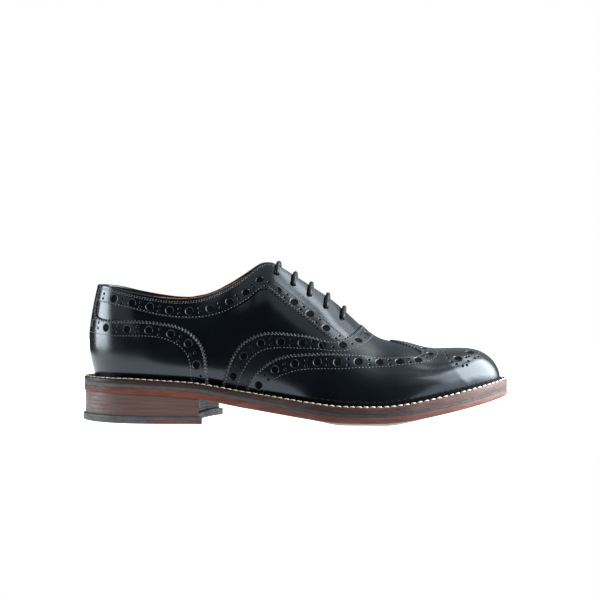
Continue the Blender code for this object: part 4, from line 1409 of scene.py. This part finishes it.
def build_sole(looks):
    rings = edge_rings(outsole_top, OUTSOLE_TOP) + edge_rings(edge_z, OUTSOLE_FOOT)
    for depth in TREAD_DEPTHS:
        share = min((depth - TREAD_FROM) / (TREAD_INSET - TREAD_FROM), 1.0)
        rings += edge_rings(blend(edge_z, tread_z, share), [(depth, 0.0)])
    loft("outsole_edge_and_tread", rings, looks["outsole"], ("outsole",))
    rings = []
    for depth, share in MIDSOLE_SHARES:
        rings += edge_rings(blend(outsole_top, midsole_top, share), [(depth, 0.0)])
    loft("midsole_layer", rings, looks["midsole"], ("midsole",))
    rings = edge_rings(welt_top, WELT_TOP) + edge_rings(midsole_top, WELT_FOOT)
    loft("welt_strip", rings, looks["welt"], ("welt",), hollow=True)
    ring = closed_ring(inset(SOLE_EDGE, WELT_STITCH_INSET), welt_top)
    ring = np.vstack([ring, ring[:1]])
    count = round(lengths(ring)[-1] / WELT_STITCH_PITCH)
    middle = evenly(ring, count + 1)[:-1]
    way = unit(np.roll(middle, -1, axis=0) - np.roll(middle, 1, axis=0))
    normal = unit(np.tile((0.0, 0.0, 1.0), (count, 1)) - way * way[:, 2:])
    stitches = Shape()
    radius = np.interp(middle[:, 0], *zip(*WELT_STITCH_ROWS))
    thread(stitches, middle + normal * WELT_STITCH_RISE, way, normal, WELT_STITCH_LENGTH, radius)
    stitches.piece("welt_stitching", looks["cream_thread"], "welt_leather")
    rings = []
    for more, rise in INSOLE_RINGS:
        rings.append(closed_ring(inset(FEATHER, WALL + INSOLE_INSET + more), inside_z, rise))
    loft("insole_sock", rings, looks["lining"], ("insole",))


def darken_breast(piece, dark_front):
    """Gives the faces of the hollow front of a heel piece a second, darker material."""
    piece.data.materials.append(dark_front)
    for face in piece.data.polygons:
        if face.normal.x > BREAST_FACING:
            face.material_index = 1


def build_heel(looks):
    base = TOP_LIFT

    def between(share):
        return lambda x: base + (edge_z(x) - base) * share

    rings = []
    for lift in range(STACK_LIFTS):
        low, high = lift / STACK_LIFTS, (lift + 1) / STACK_LIFTS
        for share, depth in LIFT_PROFILE:
            if share == 1.0 and lift < STACK_LIFTS - 1:
                continue
            rings.append(heel_ring(STACK_INSET + depth, between(low + (high - low) * share)))
    stack = loft("heel_stack_lifts", rings, looks["stack"], ("heel_stack",), strips=False)
    darken_breast(stack, looks["dark_front"])

    def slab_rings(low, high, back=None, front=True):
        under = LIFT_ROUND if low == 0.0 else LIFT_JOINT
        over = LIFT_ROUND if high == TOP_LIFT else LIFT_JOINT
        steps = [(low, under, share) for share in LIFT_STEPS]
        steps += [(high, -over, share) for share in LIFT_STEPS[::-1]]
        rings = []
        for z, r, share in steps:
            depth = abs(r) * (1 - math.sqrt(1 - (1 - share) ** 2)) - TOP_LIFT_PROUD
            rings.append(heel_ring(depth, level(z + r * share), back, front))
        return rings

    step = INSERT_HEIGHT + LIFT_JOINT
    layer, rear = slab_rings(step, TOP_LIFT), slab_rings(0.0, step, None, False)
    loft("top_lift_layer", layer, looks["rubber"], ("top_lift",), strips=False)
    rear = loft("top_lift_rear", rear, looks["rubber"], (), strips=False)
    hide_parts("top_lift")
    insert = loft(
        "top_lift_front",
        slab_rings(0.0, INSERT_HEIGHT, INSERT_BACK_X + GAP),
        looks["outsole"],
        ("top_lift_insert",),
        strips=False,
    )
    darken_breast(insert, looks["rubber"])


def eyelet_places(medial):
    """The eyelets as places on the last."""
    places = []
    for x, off in EYELETS:
        turn = float(turn_at(x))
        point = crest_point(x, off if medial else -off)
        shares = np.column_stack([np.full_like(EYELET_SHARES, turn), EYELET_SHARES])
        if medial:
            shares[:, 0] *= -1
        nearest = np.argmin(np.linalg.norm(on_last(shares)[0] - point, axis=1))
        places.append(shares[nearest])
    return np.array(places)


def quarter_outline(sign, front):
    """One side of the upper from the heel to the front turn."""
    path = [straight((0, 0), (front, 0)), straight((front, 0), (front, 1)), straight((front, 1), (0, 1))]
    path.append(straight((0, 1), (0, 0)))
    loop = np.vstack([part[:-1] for part in path])
    return loop * (sign, 1)


def build_upper(looks):
    holes = [eyelet_places(False), eyelet_places(True)]
    skin, lining = Shape(), Shape()
    for sign, places in ((1, holes[0]), (-1, holes[1])):
        outline = quarter_outline(sign, SKIN_FRONT)
        eyelets = [(places, EYELET_RADIUS, SKIN_RIM, HOLE_SIDES)]
        panel(skin, outline, eyelets, 0.0, SKIN_FOOT)
        panel(lining, outline, eyelets, -WALL, SKIN_FOOT, out=-1.0)
    skin.piece("quarters", looks["leather"], "black_leather", ("upper",))
    lining.piece("quarter_lining", looks["lining"], "lining_leather")
    turns = np.linspace(-TOPLINE_END, TOPLINE_END, TOPLINE_STATIONS)
    places = np.column_stack([turns, np.ones_like(turns)])
    points, normals = on_last(places)
    up = unit(slopes(places)[1])
    angles = np.linspace(0, np.pi, BINDING_SIDES)
    thick = read(BINDING_COLUMNS, BINDING_ROWS, "bead", turns, BINDING_SOFT)[:, None]
    inner = read(BINDING_COLUMNS, BINDING_ROWS, "inner", turns, BINDING_SOFT)[:, None]
    rows = [points + normals * (FACING_HEIGHT - BINDING_TUCK) - up * BINDING_OVERLAP]
    facing = [normals]
    inside = -WALL - LINING_COVER
    middle = (FACING_HEIGHT + inside) / 2
    reach = (FACING_HEIGHT - inside) / 2
    for angle in angles:
        out = normals * (middle + reach * math.cos(angle))
        rows.append(points + out + up * thick * (math.sin(angle) - BINDING_SINK))
        facing.append(normals * math.cos(angle) + up * math.sin(angle))
    for share in BINDING_STEPS:
        rows.append(on_last(shift(places, -up * inner * share), inside)[0])
        facing.append(-normals)
    bead = Shape()
    bead.grid(np.array(rows), np.array(facing))
    bead.piece("topline_binding", looks["leather"], "black_leather")
    return holes


def build_panels(looks, holes):
    thread_rows = Shape()

    def row(path, height, mirror):
        for side in (path, mirror(path)):
            sew(thread_rows, side, height)

    counter = Shape()
    edge = gimped(COUNTER_EDGE, 1)
    top = straight(COUNTER_EDGE[-1], round_back(COUNTER_EDGE)[0])
    bottom = straight(round_back(COUNTER_EDGE)[-1], COUNTER_EDGE[0])
    outline, toothed = joined((edge, True), (top, False), (round_back(edge), True), (bottom, False))
    groups = punched(COUNTER_HOLES, round_back, COUNTER_ENDS)
    panel(counter, outline, groups, COUNTER_HEIGHT, PANEL_FOOT, toothed=toothed)
    counter.piece("counter_panel", looks["panel"], "black_leather", ("counter",))
    row(beside(trace(COUNTER_EDGE), EDGE_ROW), COUNTER_HEIGHT, round_back)
    row(trace(COUNTER_STITCH), COUNTER_HEIGHT, round_back)

    for side, sign, places in (("lateral", 1, holes[0]), ("medial", -1, holes[1])):
        facing = Shape()
        low = trace((COLLAR_BACK, *COLLAR_EDGE[1:]))
        edge = gimped(FACING_EDGE, 1)
        front = trace(FACING_FRONT)
        corner = (COLLAR_BACK[0], 1.0)
        top, back = straight(FACING_FRONT[-1], corner), straight(corner, COLLAR_BACK)
        outline, toothed = joined((low, False), (edge, True), (front, False), (top, False), (back, False))
        outline *= (sign, 1)
        large, pins = bands(COLLAR_HOLES, COLLAR_PIN_OFF, COLLAR_ENDS)
        more, more_pins = bands(FACING_HOLES, ends=FACING_ENDS)
        groups = [
            (np.vstack([large, more]) * (sign, 1), HOLE_RADIUS, HOLE_RIM, HOLE_SIDES),
            (np.vstack([pins, more_pins]) * (sign, 1), PIN_RADIUS, PIN_RIM, PIN_SIDES),
            (places, EYELET_RADIUS, EYELET_RIM, HOLE_SIDES),
        ]
        panel(facing, outline, groups, FACING_HEIGHT, PANEL_FOOT, toothed=toothed)
        nodes = (f"collar_band_{side}", f"facing_{side}")
        facing.piece(f"collar_and_facing_{side}", looks["panel"], "black_leather", nodes)
    row(beside(trace(COLLAR_EDGE[1:]), COLLAR_ROW), FACING_HEIGHT, round_back)
    row(beside(trace(FACING_EDGE), EDGE_ROW), FACING_HEIGHT, round_back)
    seam = Shape()
    path = trace(FACING_CREASE)
    for side in (path, round_back(path)):
        sew(seam, side, FACING_HEIGHT, SEAM_PITCH)
    seam.piece("facing_seam", looks["lace"], "black_leather")
    for off in TOPLINE_ROWS:
        path = straight((0.0, 1.0), (TOPLINE_STITCH_END, 1.0))
        path[:, 1] -= off / np.linalg.norm(slopes(path)[1], axis=1)
        for side in (path, round_back(path)):
            sew(thread_rows, side, FACING_HEIGHT, TOPLINE_PITCH, TOPLINE_RADIUS)

    vamp = Shape()
    edge = gimped(VAMP_EDGE, -1)
    front = trace(VAMP_FRONT)
    outline, toothed = joined(
        (edge, True),
        (over_ridge(edge), True),
        (straight((VAMP_EDGE[0][0], 2.0), (VAMP_FRONT[0][0], 2.0)), False),
        (over_ridge(front), False),
        (front[::-1], False),
        (straight((VAMP_FRONT[0][0], 0.0), (VAMP_EDGE[0][0], 0.0)), False),
    )
    panel(vamp, outline, punched(VAMP_HOLES, over_ridge), VAMP_HEIGHT, VAMP_FOOT, toothed=toothed)
    vamp.piece("vamp_panel", looks["vamp"], "black_leather", ("vamp",))
    row(beside(trace(VAMP_EDGE), -EDGE_ROW), VAMP_HEIGHT, over_ridge)
    row(trace(VAMP_STITCH), VAMP_HEIGHT, over_ridge)

    wing = Shape()
    edge = gimped(WING_EDGE, -1)
    outline, toothed = joined(
        (edge, True),
        (over_ridge(edge), True),
        (straight((WING_EDGE[0][0], 2.0), (TOE_TURN, 2.0)), False),
        (np.column_stack([np.full(TOE_POINTS, TOE_TURN), np.linspace(2.0, 0.0, TOE_POINTS)]), False),
        (straight((TOE_TURN, 0.0), (WING_EDGE[0][0], 0.0)), False),
    )
    groups = punched(WING_HOLES, over_ridge)
    groups.append((both_ways(np.array(MEDALLION_HOLES), over_ridge), HOLE_RADIUS, HOLE_RIM, HOLE_SIDES))
    groups.append((both_ways(np.array(MEDALLION_PINS), over_ridge), PIN_RADIUS, PIN_RIM, PIN_SIDES))
    panel(wing, outline, groups, WING_HEIGHT, WING_FOOT, toothed=toothed)
    wing.piece("wing_cap_panel", looks["panel"], "black_leather", ("wing_cap",))
    row(beside(trace(WING_EDGE), -EDGE_ROW), WING_HEIGHT, over_ridge)
    row(trace(WING_STITCH), WING_HEIGHT, over_ridge)
    thread_rows.piece("upper_stitching", looks["grey_thread_and_sheen"], "black_leather")


def rim(grid):
    """The outer points of a grid, in order round it."""
    return np.vstack([grid[0], grid[1:, -1], grid[-1, -2::-1], grid[-2:0:-1, 0]])


def build_tongue(looks):
    x = np.linspace(TONGUE_BACK_X, TONGUE_FRONT_X, TONGUE_ROWS)
    half = np.linspace(TONGUE_HALF_BACK, TONGUE_HALF_FRONT, TONGUE_ROWS)
    across = np.linspace(-1, 1, TONGUE_POINTS)
    points = np.array([[crest_point(p, h * a) for a in across] for p, h in zip(x, half)])
    normals = unit(np.cross(np.gradient(points, axis=0), np.gradient(points, axis=1)))
    tongue = Shape()
    rows_top = points - normals * (WALL + TONGUE_DROP)
    rows_under = rows_top - normals * TONGUE_THICK
    tongue.grid(rows_top, normals)
    tongue.grid(rows_under, -normals)
    top, under = rim(rows_top), rim(rows_under)
    outward = unit(top - top.mean(axis=0))
    bulge = (top + under) / 2 + outward * TONGUE_THICK / 2
    facing = np.array([rim(normals) + outward, outward, outward - rim(normals)])
    tongue.grid(np.array([top, bulge, under]), facing, wrap_columns=True)
    tongue.piece("tongue_leather", looks["leather"], "black_leather", ("tongue",))


def lace_course():
    """Centre line of the lace and how far it is pressed flat, from one hidden end to the other."""
    spots = EYELETS
    course = []

    def visit(x, off, height, flat):
        course.append((*(crest_point(x, off) + crest_normal(x, off) * height), flat))

    def bar(number, way):
        x, off = spots[number]
        rise = [(0.0, UNDER_LACE * HALF_UNDER, HALF_UNDER), *((a, h, 0.0) for a, h in LACE_RISE)]
        half = [(off - a, h, f) for a, h, f in rise]
        half += [(off - LACE_ACROSS, LACE_LIFT, 0.0), (off * LACE_INNER, LACE_LIFT, 0.0)]
        path = [(-o, h, f) for o, h, f in half] + [(0.0, LACE_LIFT, 0.0)] + half[::-1]
        for o, h, f in path if way > 0 else [(-o, h, f) for o, h, f in path]:
            visit(x, o, h, f)

    def under(start, end, side):
        (xa, oa), (xb, ob) = start, end
        for share in UNDER_SHARES:
            aside = UNDER_ASIDE * math.sin(math.pi * share)
            visit(xa + (xb - xa) * share, side * (oa + (ob - oa) * share + aside), UNDER_LACE, 1.0)

    first, last = ((spots[0][0] + along, spots[0][1] + out) for along, out in LACE_TAILS)
    under(first, spots[1], -1)
    bar(1, 1)
    under(spots[1], spots[3], 1)
    bar(3, -1)
    under(spots[3], spots[4], -1)
    bar(4, 1)
    under(spots[4], spots[2], 1)
    bar(2, -1)
    under(spots[2], spots[0], -1)
    bar(0, 1)
    under(spots[0], last, 1)
    return np.array(course)


def build_lace(looks):
    course = lace_course()
    line = spline(course, LACE_STATIONS)
    points, flat = line[:, :3], np.clip(line[:, 3], 0, 1)[:, None]
    way = ways(points, False)
    normal = np.empty_like(points)
    normal[0] = unit(np.cross(way[0], LACE_START_SIDE))
    for i in range(1, len(points)):
        normal[i] = unit(normal[i - 1] - way[i] * (normal[i - 1] @ way[i]))
    side = np.cross(way, normal)
    length = lengths(points)
    rows, facing = [], []
    for k in range(LACE_SIDES):
        angle = 2 * math.pi * k / LACE_SIDES
        spoke = normal * math.cos(angle) + side * math.sin(angle)
        turn, twist = LACE_STRANDS * angle, length * LACE_TWIST
        strands = np.cos(turn + twist) * np.cos(turn - twist)
        radius = LACE_RADIUS * (1 + LACE_RELIEF * strands)[:, None] * (1 - LACE_PRESSED * flat)
        rows.append(points + spoke * radius)
        facing.append(spoke)
    lace = Shape()
    lace.grid(np.array(rows), np.array(facing), wrap_rows=True)
    for end in (0, -1):
        ring = np.array([row[end] for row in rows])
        cap = np.array([ring, np.tile(points[end], (LACE_SIDES, 1))])
        lace.grid(cap, np.tile(way[end] * (1 if end else -1), (2 * LACE_SIDES, 1)), wrap_columns=True)
    nodes = [f"lace_bar_{number}" for number in range(1, len(EYELETS) + 1)]
    lace.piece("lace", looks["lace"], "lace_cotton", nodes)


def build_stage():
    mesh = bpy.data.meshes.new("floor")
    mesh.from_pydata([(x, y, 0) for x, y in FLOOR], [], [range(len(FLOOR))])
    floor = bpy.data.objects.new("floor", mesh)
    bpy.context.scene.collection.objects.link(floor)
    finish = Finish("pale_floor", Roughness=0.9, Emission_Strength=FLOOR_GLOW)
    finish.shader.inputs["Specular IOR Level"].default_value = 0.0
    finish.shader.inputs["Emission Color"].default_value = (*FLOOR_COLOUR, 1)
    finish.colour(finish.noise(3, 2), *FLOOR_SHADES)
    mesh.materials.append(finish.material)
    world = bpy.data.worlds.new("studio")
    world.use_nodes = True
    tree = world.node_tree
    tree.nodes.clear()
    ray = node(tree, "ShaderNodeLightPath")
    white, dark = node(tree, "ShaderNodeBackground"), node(tree, "ShaderNodeBackground")
    white.inputs["Color"].default_value = (1, 1, 1, 1)
    dark.inputs["Color"].default_value = (*ROOM_COLOUR, 1)
    dark.inputs["Strength"].default_value = ROOM_GLOW
    mix, out = node(tree, "ShaderNodeMixShader"), node(tree, "ShaderNodeOutputWorld")
    tree.links.new(ray.outputs["Is Camera Ray"], mix.inputs["Fac"])
    tree.links.new(dark.outputs["Background"], mix.inputs[1])
    tree.links.new(white.outputs["Background"], mix.inputs[2])
    tree.links.new(mix.outputs["Shader"], out.inputs["Surface"])
    bpy.context.scene.world = world
    for name, place, aim, size, glow, seen in LIGHTS:
        light = bpy.data.lights.new(name, "AREA")
        light.shape = "RECTANGLE"
        light.size, light.size_y = size
        light.energy = glow * math.pi * size[0] * size[1]
        light.color = LIGHT_COLOUR
        lamp = bpy.data.objects.new(name, light)
        lamp.location = place
        lamp.rotation_euler = (Vector(aim) - Vector(place)).to_track_quat("-Z", "Y").to_euler()
        lamp.visible_glossy = seen
        lamp.visible_camera = False
        bpy.context.scene.collection.objects.link(lamp)


def build_camera():
    yaw = math.radians(CAMERA_YAW)
    ahead = Vector((-math.sin(yaw), math.cos(yaw), 0))
    right = Vector((math.cos(yaw), math.sin(yaw), 0))
    aim = ahead + right * ((FRAME / 2 - CAMERA_CENTRE[0]) / CAMERA_FOCUS)
    aim += Vector((0, 0, 1)) * ((CAMERA_CENTRE[1] - FRAME / 2) / CAMERA_FOCUS)
    data = bpy.data.cameras.new("camera")
    data.sensor_width = SENSOR_WIDTH
    data.lens = CAMERA_FOCUS / FRAME * data.sensor_width
    camera = bpy.data.objects.new("camera", data)
    camera.location = -ahead * CAMERA_DISTANCE + Vector((0, 0, CAMERA_HEIGHT))
    camera.rotation_euler = aim.to_track_quat("-Z", "Y").to_euler()
    bpy.context.scene.collection.objects.link(camera)
    bpy.context.scene.camera = camera


def main():
    bpy.context.scene.view_settings.view_transform = "Standard"
    looks = all_finishes()
    build_camera()
    build_stage()
    holes = build_upper(looks)
    build_panels(looks, holes)
    build_tongue(looks)
    build_lace(looks)
    build_sole(looks)
    build_heel(looks)


main()
